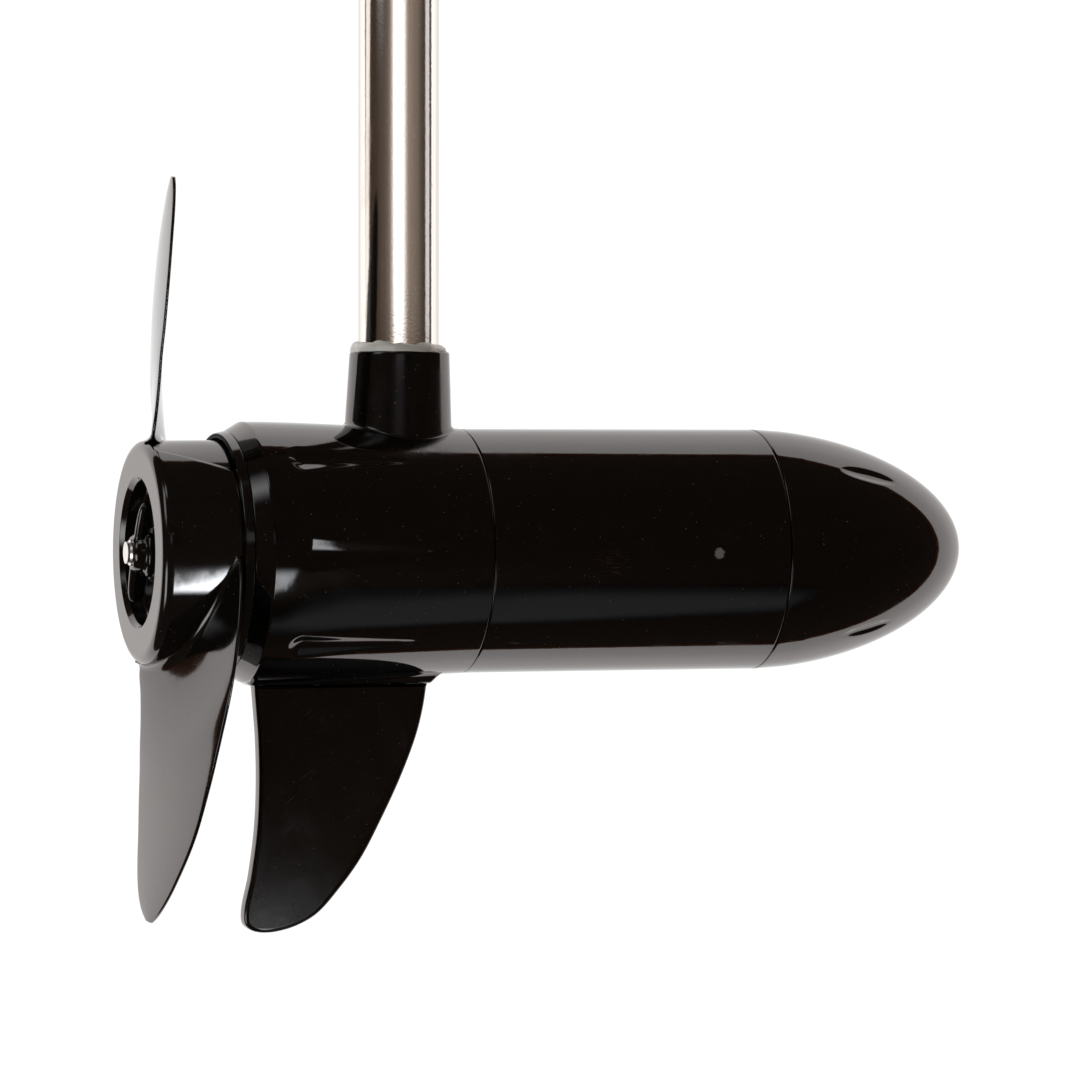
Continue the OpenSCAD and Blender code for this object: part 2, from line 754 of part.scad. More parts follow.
// A tube swept along points by rings of the given number of sides.
function cross_unit(a, b) = let (c = cross(a, b)) c / norm(c);
function path_way(path, i) = let (
    d = path[min(i + 1, len(path) - 1)] - path[max(i - 1, 0)]) d / norm(d);
function tube_ring(path, i, r, sides, up) = let (
    way = path_way(path, i), u = cross_unit(way, up), v = cross(way, u))
    [for (k = [0:sides - 1]) path[i] + r * (cos(360 * k / sides) * u + sin(360 * k / sides) * v)];

module swept_tube(path, r, sides, up) {
    rings = len(path);
    polyhedron(
        points = [for (i = [0:rings - 1]) for (p = tube_ring(path, i, r, sides, up)) p],
        faces = concat(
            [[for (k = [0:sides - 1]) k]],
            [for (i = [0:rings - 2]) for (k = [0:sides - 1]) let (n = (k + 1) % sides)
                for (f = [[i * sides + k, (i + 1) * sides + k, (i + 1) * sides + n],
                    [i * sides + k, (i + 1) * sides + n, i * sides + n]]) f],
            [[for (k = [sides - 1:-1:0]) (rings - 1) * sides + k]]));
}

spring_wire = 0.35;
spring_turns = 5;
spring_r = 2.6;

module brush_spring() {
    bottom = brush_tail + spring_wire;
    top = holder_out - holder_wall - spring_wire;
    steps = 12 * spring_turns;
    path = [for (i = [0:steps]) [
        (brush_x[0] + brush_x[1]) / 2 + spring_r * cos(30 * i),
        spring_r * sin(30 * i), bottom + (top - bottom) * i / steps]];
    swept_tube(path, spring_wire, 6, [0, 0, 1]);
}

module brush_spring_upper() {
    color(steel) at_pod() brush_spring();
}

module brush_spring_lower() {
    color(steel) at_pod() mirror([0, 0, 1]) brush_spring();
}

// A braid from the brush's front face, out through the slot and round to the head of the
// foot's screw.
module brush_pigtail(screw_top) {
    braid_r = 0.8;
    path = concat([[brush_x[1], 0, lug_z], [15.8, 0, lug_z]],
        [for (a = [45:30:165]) [13 + 6 * sin(a), -4.6 + 4.4 * cos(a), lug_z]],
        [[11.5, -8.8, lug_z], [screw_top, -8.8, lug_z]]);
    swept_tube(path, braid_r, 8, [0, 0, 1]);
}

module brush_pigtail_upper() {
    color(copper) at_pod() brush_pigtail(plate_x[1] + 2.6);
}

module brush_pigtail_lower() {
    color(copper) at_pod() rotate([180, 0, 0]) brush_pigtail(plate_x[1] + 3.4);
}

// Screws that join the lugs, feet and strap through the plate, as [y, z] places.
lug_places = [[-lug_y, lug_z], [lug_y, lug_z], [lug_y, -lug_z]];

module lug(side) {
    tab = [plate_x[0] - 0.8, plate_x[0]];
    color(brass) at_pod() difference() {
        union() {
            translate([0, side * lead_y, 26]) cylinder(h = 8, r = lead_r + 0.5);
            block([0, side * lug_y - 3, 24.5], [tab[1], side * lug_y + 3, 27]);
            block([tab[0], side * lug_y - 3, lug_z - 3.5], [tab[1], side * lug_y + 3, 27]);
        }
        translate([0, side * lead_y, 28]) cylinder(h = 8, r = lead_r);
        bar_x(0, 6, screw_r, side * lug_y, lug_z);
    }
}

module lug_red() {
    lug(-1);
}

module lug_black() {
    lug(1);
}

module lug_screws() {
    color(steel) at_pod() for (p = lug_places) {
        top = p[1] < 0 ? plate_x[1] + 1.6 : plate_x[1] + 0.8;
        bar_x(top, top + 1.8, screw_head_r, p[0], p[1]);
        bar_x(plate_x[0] - 1.6, top + 1, screw_r, p[0], p[1]);
    }
}

module bus_strap() {
    reach = norm([lug_y, lug_z]);
    swing = atan2(lug_z, lug_y) + 7;
    color(brass) at_pod() difference() {
        rotate([-swing, 0, 0]) translate([plate_x[1], 0, 0]) along_x()
            rotate_extrude(angle = 2 * swing) translate([reach - 2.3, 0]) square([4.6, 0.8]);
        for (side = [-1, 1])
            bar_x(plate_x[1] - 1, plate_x[1] + 2, screw_r + 0.05, lug_y, side * lug_z);
    }
}

shaft_tube();
shaft_sealant();
shaft_grommet();
rear_housing();
rear_trim_ring();
skeg();
skeg_screws();
motor_tube();
magnet_upper();
magnet_lower();
nose_cone();
o_ring_rear();
o_ring_front();
through_bolts();
bolt_seals();
shaft_seal_outer();
shaft_seal_inner();
rear_bearing_outer();
rear_bearing_inner();
rear_bearing_balls();
rear_bearing_cage();
front_bearing_outer();
front_bearing_inner();
front_bearing_balls();
front_bearing_cage();
preload_washer();
motor_shaft();
armature_core();
slot_wedges();
armature_windings();
commutator_hub();
commutator_bars();
shaft_circlip();
drive_pin();
propeller();
prop_washer();
prop_nut();
brush_plate();
brush_plate_screws();
brush_holder_upper();
brush_holder_lower();
brush_upper();
brush_lower();
brush_spring_upper();
brush_spring_lower();
brush_pigtail_upper();
brush_pigtail_lower();
lead_red();
lead_black();
lug_red();
lug_black();
lug_screws();
bus_strap();
terminal_red();
terminal_black();
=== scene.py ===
"""Looks of the trolling motor's lower unit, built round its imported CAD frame.

Shapes are drawn in the pod's own frame in millimetres: X from propeller to nose, the camera
on the -Y side, Z up, origin where the shaft tube's axis meets the motor's axis.
"""
import json
import math

import bmesh
import bpy
import numpy as np
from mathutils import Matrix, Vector


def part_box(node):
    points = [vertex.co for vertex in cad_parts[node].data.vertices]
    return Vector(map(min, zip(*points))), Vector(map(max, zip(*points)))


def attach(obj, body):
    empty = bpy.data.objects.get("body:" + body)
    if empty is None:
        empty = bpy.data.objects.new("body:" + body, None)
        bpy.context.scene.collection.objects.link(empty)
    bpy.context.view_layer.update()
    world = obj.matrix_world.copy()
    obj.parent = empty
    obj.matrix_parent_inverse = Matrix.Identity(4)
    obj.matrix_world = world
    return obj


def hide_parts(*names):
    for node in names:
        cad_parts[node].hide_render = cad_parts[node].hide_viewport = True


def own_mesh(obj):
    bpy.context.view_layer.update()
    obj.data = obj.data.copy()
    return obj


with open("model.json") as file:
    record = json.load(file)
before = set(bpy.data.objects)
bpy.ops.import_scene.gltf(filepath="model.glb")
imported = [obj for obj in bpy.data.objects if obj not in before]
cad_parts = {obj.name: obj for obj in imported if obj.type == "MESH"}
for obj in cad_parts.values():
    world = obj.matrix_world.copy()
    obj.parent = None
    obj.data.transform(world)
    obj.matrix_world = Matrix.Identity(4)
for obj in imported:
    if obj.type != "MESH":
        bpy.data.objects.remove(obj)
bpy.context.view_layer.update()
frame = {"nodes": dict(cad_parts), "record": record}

# ---- Sizes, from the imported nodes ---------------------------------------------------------


def box_mm(node):
    """Lowest and highest corner of a CAD node in the pod's frame, in millimetres."""
    low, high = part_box(node)
    lift = np.array([0, 0, AXIS_Z])
    return (np.array(low) - lift) * 1000, (np.array(high) - lift) * 1000


TUBE_LOW, TUBE_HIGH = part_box("motor_tube")
AXIS_Z = (TUBE_LOW.z + TUBE_HIGH.z) / 2
MOTOR = box_mm("motor_tube")
NOSE = box_mm("nose_cone")
HOUSING = box_mm("rear_housing")
RING = box_mm("rear_trim_ring")
SKEG = box_mm("skeg")
PROP = box_mm("propeller")
NUT = box_mm("prop_nut")
SHAFT = box_mm("shaft_tube")
BEAD = box_mm("shaft_sealant")

POD_R = (MOTOR[1][1] - MOTOR[0][1]) / 2
SEAM_REAR = MOTOR[0][0]
SEAM_FRONT = MOTOR[1][0]
NOSE_TIP = NOSE[1][0]
HOUSING_BACK = HOUSING[0][0]
HOUSING_R = HOUSING[1][1]
COLLAR_TOP = HOUSING[1][2]
TUBE_R = SHAFT[1][0]
TUBE_TOP = SHAFT[1][2]
TUBE_WALL = 1.2
HEAD_HOLE_R = 3.1
HEAD_HOLE_DOWN = 15
HUB_BACK = PROP[0][0]
HUB_R = 34.8
HUB_FRONT = -57
BOSS_FRONT = -60
TIP_R = 116.5
PAD_Z = -41.5
SKEG_T = SKEG[1][1] - SKEG[0][1]
VIEW_TURN = 18.42
SEAM_GAP = 0.1


# ---- Mesh helpers -------------------------------------------------------------------------


def ease(x, low, high):
    """0 below low, 1 above high and a smooth step between them."""
    t = np.clip((x - low) / (high - low), 0, 1)
    return t * t * (3 - 2 * t)


def soft_min(a, b, k):
    """Smaller of two heights, with a rounded change-over k millimetres wide."""
    h = np.clip(0.5 + 0.5 * (b - a) / k, 0, 1)
    return b + (a - b) * h - k * h * (1 - h)


def off_angle(turn, middle):
    """How far turn is from middle, both in degrees, as a signed angle in radians."""
    return np.radians((turn - middle + 180) % 360 - 180)


def axis_grid(line, count):
    """Place along the axis, radius and angle in degrees, for [x, radius] points turned."""
    angle = np.linspace(-180, 180, count, endpoint=False)
    x = np.repeat(line[:, :1], count, axis=1)
    radius = np.repeat(line[:, 1:2], count, axis=1)
    turn = np.repeat(angle[None, :], len(line), axis=0)
    return x, radius, turn


def about_axis(x, radius, turn):
    """Points at those places along and round the motor's axis, 0 degrees on the near side."""
    a = np.radians(turn)
    return np.stack([x, -radius * np.cos(a), radius * np.sin(a)], axis=-1)


def seated_on_rotor(rows, turn):
    """Rows of points turned about the motor's axis and kept inside the CAD's width."""
    c, s = math.cos(turn), math.sin(turn)
    y, z = rows[..., 1].copy(), rows[..., 2].copy()
    rows[..., 1], rows[..., 2] = c * y - s * z, s * y + c * z
    widest = np.abs(rows[..., 1]).max()
    rows[..., 1] *= min(1, (PROP[1][1] - 0.05) / widest)
    return rows


def shade(mesh, sharp=35):
    """Smooth shading, with edges sharper than that angle in degrees kept."""
    mesh.polygons.foreach_set("use_smooth", [True] * len(mesh.polygons))
    mesh.set_sharp_from_angle(angle=math.radians(sharp))


def rounded(corners, steps=6):
    """Turns [along, across, rounding] corners into a line with those roundings."""
    points = [np.array(c[:2], float) for c in corners]
    line = []
    for i, corner in enumerate(corners):
        here = points[i]
        size = corner[2] if len(corner) > 2 else 0
        if size == 0 or i in (0, len(corners) - 1):
            line.append(here)
            continue
        back = points[i - 1] - here
        ahead = points[i + 1] - here
        back /= np.linalg.norm(back)
        ahead /= np.linalg.norm(ahead)
        half = math.acos(float(np.clip(back @ ahead, -1, 1))) / 2
        reach = size / math.tan(half)
        line.append(here + back * reach * 1.15)
        middle = (back + ahead) / np.linalg.norm(back + ahead)
        centre = here + middle * size / math.sin(half)
        start = here + back * reach - centre
        end = here + ahead * reach - centre
        turn = math.pi - 2 * half
        for k in range(steps + 1):
            t = k / steps
            share = math.sin((1 - t) * turn), math.sin(t * turn)
            line.append(centre + (start * share[0] + end * share[1]) / math.sin(turn))
        line.append(here + ahead * reach * 1.15)
    return np.array(line)


def finer(line, step):
    """Adds points to a line so that none are further apart than step."""
    out = [line[0]]
    for a, b in zip(line[:-1], line[1:]):
        parts = max(1, math.ceil(np.linalg.norm(b - a) / step))
        for k in range(1, parts + 1):
            out.append(a + (b - a) * k / parts)
    return np.array(out)


def smooth_curve(knots, at):
    """Smooth curve through [x, value, ...] knots, sampled at the given x places."""
    knots = np.array(knots, float)
    x = knots[:, 0]
    values = knots[:, 1:]
    chord = np.diff(values, axis=0) / np.diff(x)[:, None]
    slope = np.empty_like(values)
    slope[1:-1] = (chord[1:] + chord[:-1]) / 2
    slope[0] = chord[0]
    slope[-1] = chord[-1]
    at = np.asarray(at, float)
    i = np.clip(np.searchsorted(x, at) - 1, 0, len(x) - 2)
    width = (x[i + 1] - x[i])[:, None]
    t = (at[:, None] - x[i][:, None]) / width
    return ((2 * t**3 - 3 * t**2 + 1) * values[i] + (t**3 - 2 * t**2 + t) * width * slope[i]
            + (3 * t**2 - 2 * t**3) * values[i + 1] + (t**3 - t**2) * width * slope[i + 1])


def grid_faces(rows, columns, wrap, start=0):
    """Quads between neighbouring rows of points."""
    across = columns if wrap else columns - 1
    faces = []
    for i in range(rows - 1):
        low = start + i * columns
        for k in range(across):
            n = (k + 1) % columns
            faces.append((low + k, low + n, low + columns + n, low + columns + k))
    return faces


# Faces of a box whose corners run through x, then y, then z.
BOX_FACES = [(0, 1, 3, 2), (4, 6, 7, 5), (0, 4, 5, 1), (2, 3, 7, 6), (0, 2, 6, 4), (1, 5, 7, 3)]


class Shell:
    """Points in pod millimetres and faces, gathered from several skins."""

    def __init__(self):
        self.points = []
        self.faces = []
        self.count = 0

    def add(self, points, faces):
        points = np.asarray(points, float).reshape(-1, 3)
        self.points.append(points)
        self.faces.extend(tuple(i + self.count for i in face) for face in faces)
        self.count += len(points)

    def skin(self, grid, wrap=True, close=False):
        """A skin through a grid of rows, or a ring of rows when close is set."""
        grid = np.asarray(grid, float)
        rows, columns = grid.shape[:2]
        if close:
            grid = np.concatenate([grid, grid[:1]])
            rows += 1
        self.add(grid, grid_faces(rows, columns, wrap))

    def turned(self, line, segments=180):
        """A skin turned about the motor's axis from [x, radius] points."""
        angle = np.linspace(0, 2 * math.pi, segments, endpoint=False)
        line = np.asarray(line, float)
        x = np.repeat(line[:, :1], segments, axis=1)
        y = -line[:, 1:2] * np.cos(angle)
        z = line[:, 1:2] * np.sin(angle)
        self.skin(np.stack([x, y, z], axis=-1))

    def made(self, name, material, body, slot, stands_for=(), sharp=35):
        """Makes the object, joins double points, rounds its shading and seats it."""
        mesh = bpy.data.meshes.new(name)
        points = np.concatenate(self.points) / 1000 + np.array([0, 0, AXIS_Z])
        mesh.from_pydata(points.tolist(), [], self.faces)
        work = bmesh.new()
        work.from_mesh(mesh)
        bmesh.ops.remove_doubles(work, verts=work.verts, dist=2e-6)
        bmesh.ops.dissolve_degenerate(work, edges=work.edges, dist=1e-7)
        bmesh.ops.recalc_face_normals(work, faces=work.faces)
        work.to_mesh(mesh)
        work.free()
        shade(mesh, sharp)
        piece = bpy.data.objects.new(name, mesh)
        bpy.context.scene.collection.objects.link(piece)
        mesh.materials.append(material)
        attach(piece, body)
        if stands_for:
            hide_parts(*stands_for)
        return piece


# ---- Materials ----------------------------------------------------------------------------


class Surface:
    """A procedural material, drawn from noise in the object's own coordinates."""

    def __init__(self, name, colour, roughness, metal=0.0, **sockets):
        self.material = bpy.data.materials.new(name)
        self.material.use_nodes = True
        self.tree = self.material.node_tree
        self.shader = self.tree.nodes["Principled BSDF"]
        self.shader.inputs["Base Color"].default_value = (*colour, 1)
        self.shader.inputs["Roughness"].default_value = roughness
        self.shader.inputs["Metallic"].default_value = metal
        for key, value in sockets.items():
            self.shader.inputs[key.replace("_", " ")].default_value = value
        self.colour = colour
        self.place = self.tree.nodes.new("ShaderNodeTexCoord").outputs["Object"]
        self.bump = None

    def node(self, kind, **values):
        node = self.tree.nodes.new(kind)
        for key, value in values.items():
            setattr(node, key, value)
        return node

    def link(self, source, target):
        self.tree.links.new(source, target)

    def stretched(self, scale, turn=(0, 0, 0)):
        """Object coordinates in millimetres, turned and then squeezed along each axis."""
        mapping = self.node("ShaderNodeMapping", vector_type="TEXTURE")
        mapping.inputs["Rotation"].default_value = [math.radians(a) for a in turn]
        mapping.inputs["Scale"].default_value = [s / 1000 for s in scale]
        self.link(self.place, mapping.inputs["Vector"])
        return mapping.outputs["Vector"]

    def noise(self, scale, detail=3.0, turn=(0, 0, 0), rough=0.5):
        node = self.node("ShaderNodeTexNoise")
        node.inputs["Scale"].default_value = 1.0
        node.inputs["Detail"].default_value = detail
        node.inputs["Roughness"].default_value = rough
        self.link(self.stretched(scale, turn), node.inputs["Vector"])
        return node.outputs["Fac"]

    def ramp(self, value, low, high, out=(0.0, 1.0), curve="SMOOTHSTEP"):
        node = self.node("ShaderNodeMapRange", interpolation_type=curve)
        node.inputs["From Min"].default_value = low
        node.inputs["From Max"].default_value = high
        node.inputs["To Min"].default_value = out[0]
        node.inputs["To Max"].default_value = out[1]
        self.link(value, node.inputs["Value"])
        return node.outputs["Result"]

    def math(self, operation, a, b):
        node = self.node("ShaderNodeMath", operation=operation)
        for socket, value in zip(node.inputs, (a, b)):
            if isinstance(value, (int, float)):
                socket.default_value = value
            else:
                self.link(value, socket)
        return node.outputs["Value"]

    def tint(self, factor, colour):
        """Mixes another colour in where factor is 1."""
        base = self.shader.inputs["Base Color"]
        node = self.node("ShaderNodeMix", data_type="RGBA")
        if base.is_linked:
            self.link(base.links[0].from_socket, node.inputs["A"])
        else:
            node.inputs["A"].default_value = (*self.colour, 1)
        node.inputs["B"].default_value = (*colour, 1)
        self.link(factor, node.inputs["Factor"])
        self.link(node.outputs["Result"], base)

    def rough(self, value):
        self.link(value, self.shader.inputs["Roughness"])

    def raise_by(self, height, depth_mm):
        """Adds relief of that depth to the normals."""
        node = self.node("ShaderNodeBump")
        node.inputs["Strength"].default_value = 1.0
        node.inputs["Distance"].default_value = depth_mm / 1000
        self.link(height, node.inputs["Height"])
        if self.bump is not None:
            self.link(self.bump, node.inputs["Normal"])
        self.bump = node.outputs["Normal"]
        self.link(self.bump, self.shader.inputs["Normal"])

    def near(self, point, radius):
        """1 at a point of the pod's frame, fading to 0 at that radius in millimetres."""
        node = self.node("ShaderNodeVectorMath", operation="DISTANCE")
        self.link(self.place, node.inputs[0])
        node.inputs[1].default_value = (
            point[0] / 1000, point[1] / 1000, point[2] / 1000 + AXIS_Z)
        return self.ramp(node.outputs["Value"], radius / 1000, 0)


def scratches(surface, directions):
    """Fine hairline scratches, as a 0 to 1 mask, each family in its own direction."""
    total = None
    for scale, turn, level in directions:
        lines = surface.noise(scale, detail=1.0, turn=turn)
        mask = surface.ramp(lines, level, level + 0.035)
        total = mask if total is None else surface.math("MAXIMUM", total, mask)
    return total


def glossy_black(name, colour, roughness, haze, streaks, peel=0.012):
    """Polished black finish with hazy scuffs, hairline scratches and dust specks."""
    s = Surface(name, colour, roughness, Specular_IOR_Level=0.5)
    cloud = s.ramp(s.noise((22, 22, 22), 5, rough=0.62), 0.5, 0.75)
    patch = s.ramp(s.noise((7, 7, 7), 4, rough=0.6), 0.45, 0.72)
    lines = scratches(s, streaks)
    dust = s.ramp(s.noise((0.4, 0.4, 0.4), 0.0), 0.872, 0.885)
    value = s.math("MULTIPLY_ADD", patch, haze * 0.35)
    value.node.inputs[2].default_value = roughness
    value = s.math("ADD", value, s.math("MULTIPLY", cloud, haze))
    value = s.math("ADD", value, s.math("MULTIPLY", lines, 0.16))
    value = s.math("ADD", value, s.math("MULTIPLY", dust, 0.4))
    s.rough(value)
    s.tint(s.math("MULTIPLY", lines, 0.22), (0.09, 0.075, 0.065))
    s.tint(s.math("MULTIPLY", dust, 0.5), (0.5, 0.48, 0.44))
    s.raise_by(s.noise((5.5, 5.5, 5.5), 2), peel)
    s.raise_by(s.math("MULTIPLY", lines, -1.0), 0.006)
    return s


def paint_black():
    """Gloss paint of the metal pod, with its nick and a few handling marks."""
    s = glossy_black("gloss_black_paint", (0.0042, 0.0034, 0.0029), 0.045, 0.075, [
        ((26, 0.5, 0.35), (0, 5, 8), 0.79),
        ((0.35, 5, 9), (12, 24, 20), 0.80),
        ((0.4, 5, 11), (0, -42, 0), 0.81)])
    worn = s.math("MULTIPLY", s.near((0, -17, 44), 34), s.noise((4, 4, 7), 5, rough=0.7))
    base = s.shader.inputs["Roughness"].links[0].from_socket
    s.rough(s.math("ADD", base, s.ramp(worn, 0.12, 0.4, (0, 0.16))))
    nick = s.near((93.2, -POD_R, -0.6), 3.6)
    ragged = s.noise((0.8, 0.8, 0.6), 4, rough=0.75)
    chip = s.ramp(s.math("MULTIPLY", nick, ragged), 0.26, 0.31)
    s.tint(chip, (0.36, 0.34, 0.31))
    s.raise_by(s.math("MULTIPLY", chip, -1.0), 0.3)
    rub = s.math("MULTIPLY", s.near((58, -POD_R, -3.5), 22), s.noise((3.2, 0.5, 0.35), 3))
    s.tint(s.ramp(rub, 0.44, 0.62, (0, 0.35)), (0.085, 0.045, 0.03))
    return s.material


def moulded_black():
    """Glossy moulded plastic of the propeller and nut, with soft swirl marks."""
    s = glossy_black("gloss_black_plastic", (0.0046, 0.0038, 0.0034), 0.07, 0.085, [
        ((0.35, 6, 10), (0, 14, 0), 0.80),
        ((12, 4, 0.35), (0, 30, 0), 0.81)])
    return s.material


def scuffed_black():
    """The skeg's plastic: rubbed and scratched by weed and sand."""
    s = glossy_black("scuffed_black_plastic", (0.0098, 0.0078, 0.0070), 0.085, 0.13, [
        ((0.4, 6, 9), (0, 55, 0), 0.77),
        ((0.4, 6, 14), (0, -18, 0), 0.79),
        ((0.4, 6, 22), (0, 32, 0), 0.79),
        ((7, 6, 0.4), (0, 12, 0), 0.79)])
    scuff = s.ramp(s.noise((9, 9, 13), 6, rough=0.7), 0.5, 0.72, (0, 0.4))
    s.tint(scuff, (0.030, 0.028, 0.027))
    return s.material


def brushed_stainless():
    """Drawn and polished tube: long fine lines along it, a few stains and scratches."""
    s = Surface("brushed_stainless", (0.66, 0.635, 0.60), 0.14, 1.0, Anisotropic=0.5)
    fine = s.noise((0.09, 0.09, 60), 2)
    grain = s.noise((0.8, 0.8, 0.6), 3)
    broad = s.noise((1.6, 1.6, 190), 2)
    stain = s.ramp(s.noise((9, 9, 26), 4, rough=0.65), 0.55, 0.8)
    value = s.ramp(fine, 0.3, 0.7, (0.06, 0.13), "LINEAR")
    value = s.math("ADD", value, s.math("MULTIPLY", stain, 0.10))
    s.rough(value)
    s.tint(s.ramp(broad, 0.35, 0.7, (0, 0.5)), (0.52, 0.485, 0.45))
    s.tint(s.math("MULTIPLY", stain, 0.25), (0.40, 0.34, 0.29))
    s.raise_by(fine, 0.0012)
    s.raise_by(grain, 0.02)
    nicks = scratches(s, [((0.12, 0.12, 8), (7, 0, 0), 0.77), ((0.12, 7, 0.3), (0, 20, 5), 0.79)])
    s.raise_by(s.math("MULTIPLY", nicks, -1.0), 0.01)
    return s.material


def pale_sealant():
    """Hand-run silicone, milky with a faint green cast and a little grime."""
    s = Surface("pale_sealant", (0.95, 0.96, 0.90), 0.42, Subsurface_Weight=0.15)
    s.shader.inputs["Subsurface Scale"].default_value = 0.002
    s.shader.inputs["Subsurface Radius"].default_value = (1.0, 0.9, 0.7)
    lumps = s.noise((2.4, 2.4, 1.2), 4)
    s.tint(s.ramp(lumps, 0.45, 0.75, (0, 0.6)), (0.80, 0.83, 0.75))
    s.tint(s.ramp(s.noise((0.9, 0.9, 0.5), 3), 0.66, 0.78, (0, 0.5)), (0.42, 0.41, 0.34))
    s.rough(s.ramp(lumps, 0.3, 0.7, (0.3, 0.55)))
    s.raise_by(lumps, 0.35)
    return s.material


def hidden_finish(name, colour, kind):
    """Finish of a piece inside the pod, by its kind."""
    metal = {"brushed_steel": 1, "chrome": 1, "brass": 1, "cast_iron": 0.6}.get(kind, 0)
    rough = {"chrome": 0.12, "brushed_steel": 0.28, "brass": 0.3, "cast_iron": 0.55,
             "rubber": 0.6, "matte_plastic": 0.5}.get(kind, 0.4)
    s = Surface(name, colour, rough, metal)
    grain = s.noise((0.8, 0.8, 0.8), 5, rough=0.65)
    streak = s.noise((6, 0.25, 0.25), 2)
    stain = s.ramp(s.noise((6, 6, 6), 4), 0.5, 0.75)
    mixed = s.math("ADD", s.math("MULTIPLY", grain, 0.12), s.math("MULTIPLY", streak, 0.10))
    s.rough(s.math("ADD", mixed, rough - 0.11))
    dark = tuple(c * 0.62 for c in colour)
    s.tint(s.math("MULTIPLY", stain, 0.6), dark)
    s.tint(s.ramp(grain, 0.55, 0.75, (0, 0.35)), tuple(min(1, c * 1.25 + 0.01) for c in colour))
    s.raise_by(streak if metal else grain, 0.01 if metal else 0.03)
    return s


def laminations():
    """Stacked sheets: fine dark joints across the motor's axis."""
    s = hidden_finish("laminations", (0.28, 0.29, 0.31), "cast_iron")
    bands = s.node("ShaderNodeTexWave", bands_direction="X")
    bands.inputs["Scale"].default_value = 1.0
    s.link(s.stretched((2.2, 2.2, 2.2)), bands.inputs["Vector"])
    joint = s.ramp(bands.outputs["Fac"], 0.25, 0.0)
    s.tint(s.math("MULTIPLY", joint, 0.7), (0.03, 0.03, 0.03))
    s.raise_by(s.math("MULTIPLY", joint, -1.0), 0.05)
    return s.material


def enamelled_copper():
    """Turns of enamelled wire along the slots, with painted shade in the grooves between the
    turns.
    """
    s = hidden_finish("enamelled_copper", (0.62, 0.26, 0.10), "brass")
    bands = s.node("ShaderNodeTexWave", bands_direction="DIAGONAL")
    bands.inputs["Scale"].default_value = 1.0
    bands.inputs["Distortion"].default_value = 2.5
    s.link(s.stretched((7, 3, 3)), bands.inputs["Vector"])
    # painted shade: the copper is darkened where the wave's bumps are lowest, in the grooves
    # between turns
    s.tint(s.ramp(bands.outputs["Fac"], 0.4, 0.0, (0, 0.7)), (0.16, 0.05, 0.02))
    s.raise_by(bands.outputs["Fac"], 0.2)
    return s.material


# ---- Rear housing, collar and pad ---------------------------------------------------------

# Outside of the housing from behind its rear bevel to the motor tube, as [x, radius].
HOUSING_CURVE = [[-55, 40.6], [-47, 40.6], [-43.8, 40.57], [-33.5, 40.3], [-17.9, 39.7],
                 [0, 39.15], [19.5, 38.62]]
# Radius that turns a flute's angle into a width.
FLUTE_R = 40
# Flutes as [angle above the near side, rear end, front end].
FLUTES = [[0, -43.6, 2], [46, -43.4, -4], [-45, -43.6, 0],
          [180, -43.6, 2], [134, -43.4, -4], [225, -43.6, 0]]


def housing_radius(x):
    return smooth_curve(HOUSING_CURVE, x)[:, 0]


def flute_relief(x, angle, flute):
    """How far one flute cuts in: a wedge with a round rear end that runs out in front."""
    middle, back, front = flute
    wide, deep, nose_len = 4.5, 1.2, 4.2
    across = off_angle(angle, middle) * FLUTE_R
    centre = back + nose_len
    left = 1 - np.clip((x - centre) / (front - centre), 0, 0.995)
    behind = np.clip((centre - x) / nose_len, 0, 2)
    bowl = 1 - (across / (wide * left)) ** 2 - behind**2
    height = np.clip(-deep * left**1.25 * bowl, -3, 3)
    return soft_min(np.zeros_like(height), height, 0.8) * ease(left, 0, 0.12)


def pad_height(x, angle):
    """Radius of the skeg's pad, with its sides falling away, or 0 off the pad."""
    from_below = np.clip(off_angle(angle, -90), -1.2, 1.2)
    side = np.abs(np.tan(from_below)) * -PAD_Z
    drop = soft_min(np.zeros_like(side), (4.0 - side) * 0.85, 0.5)
    ends = np.minimum((x + 49.4) * 1.2, (9.2 - x) * 1.4)
    drop = np.minimum(drop, soft_min(ends, np.zeros_like(ends), 0.6))
    return (-PAD_Z + drop) / np.cos(from_below)


def housing():
    """The housing's shell with its rear bevel, flutes, skeg pad and front seam."""
    rear = rounded([[HOUSING_BACK, 35.4], [HOUSING_BACK, 37.5, 0.5], [-51.4, HOUSING_R, 1.6],
                    [-47, HOUSING_R]], 8)
    x_long = np.linspace(-47, SEAM_REAR - 0.62, 168)
    long_line = np.column_stack([x_long, housing_radius(x_long)])
    end_r = housing_radius(np.array([SEAM_REAR - 0.5]))[0]
    face = SEAM_REAR - SEAM_GAP
    front = rounded([[SEAM_REAR - 0.6, end_r], [face, end_r - 0.02, 0.38],
                     [face, end_r - 1.2, 0], [face, 35]], 5)
    line = np.concatenate([finer(rear, 0.6)[:-1], long_line, front[1:]])
    x, radius, turn = axis_grid(line, 720)
    outer = radius > 36
    relief = sum(flute_relief(x, turn, flute) for flute in FLUTES)
    radius = np.where(outer, radius + relief, radius)
    pad = pad_height(x, turn)
    on_pad = outer & (x > -51) & (x < 12)
    radius = np.where(on_pad, -soft_min(-radius, -pad, 1.3), radius)
    shell = Shell()
    shell.skin(about_axis(x, radius, turn))
    return shell


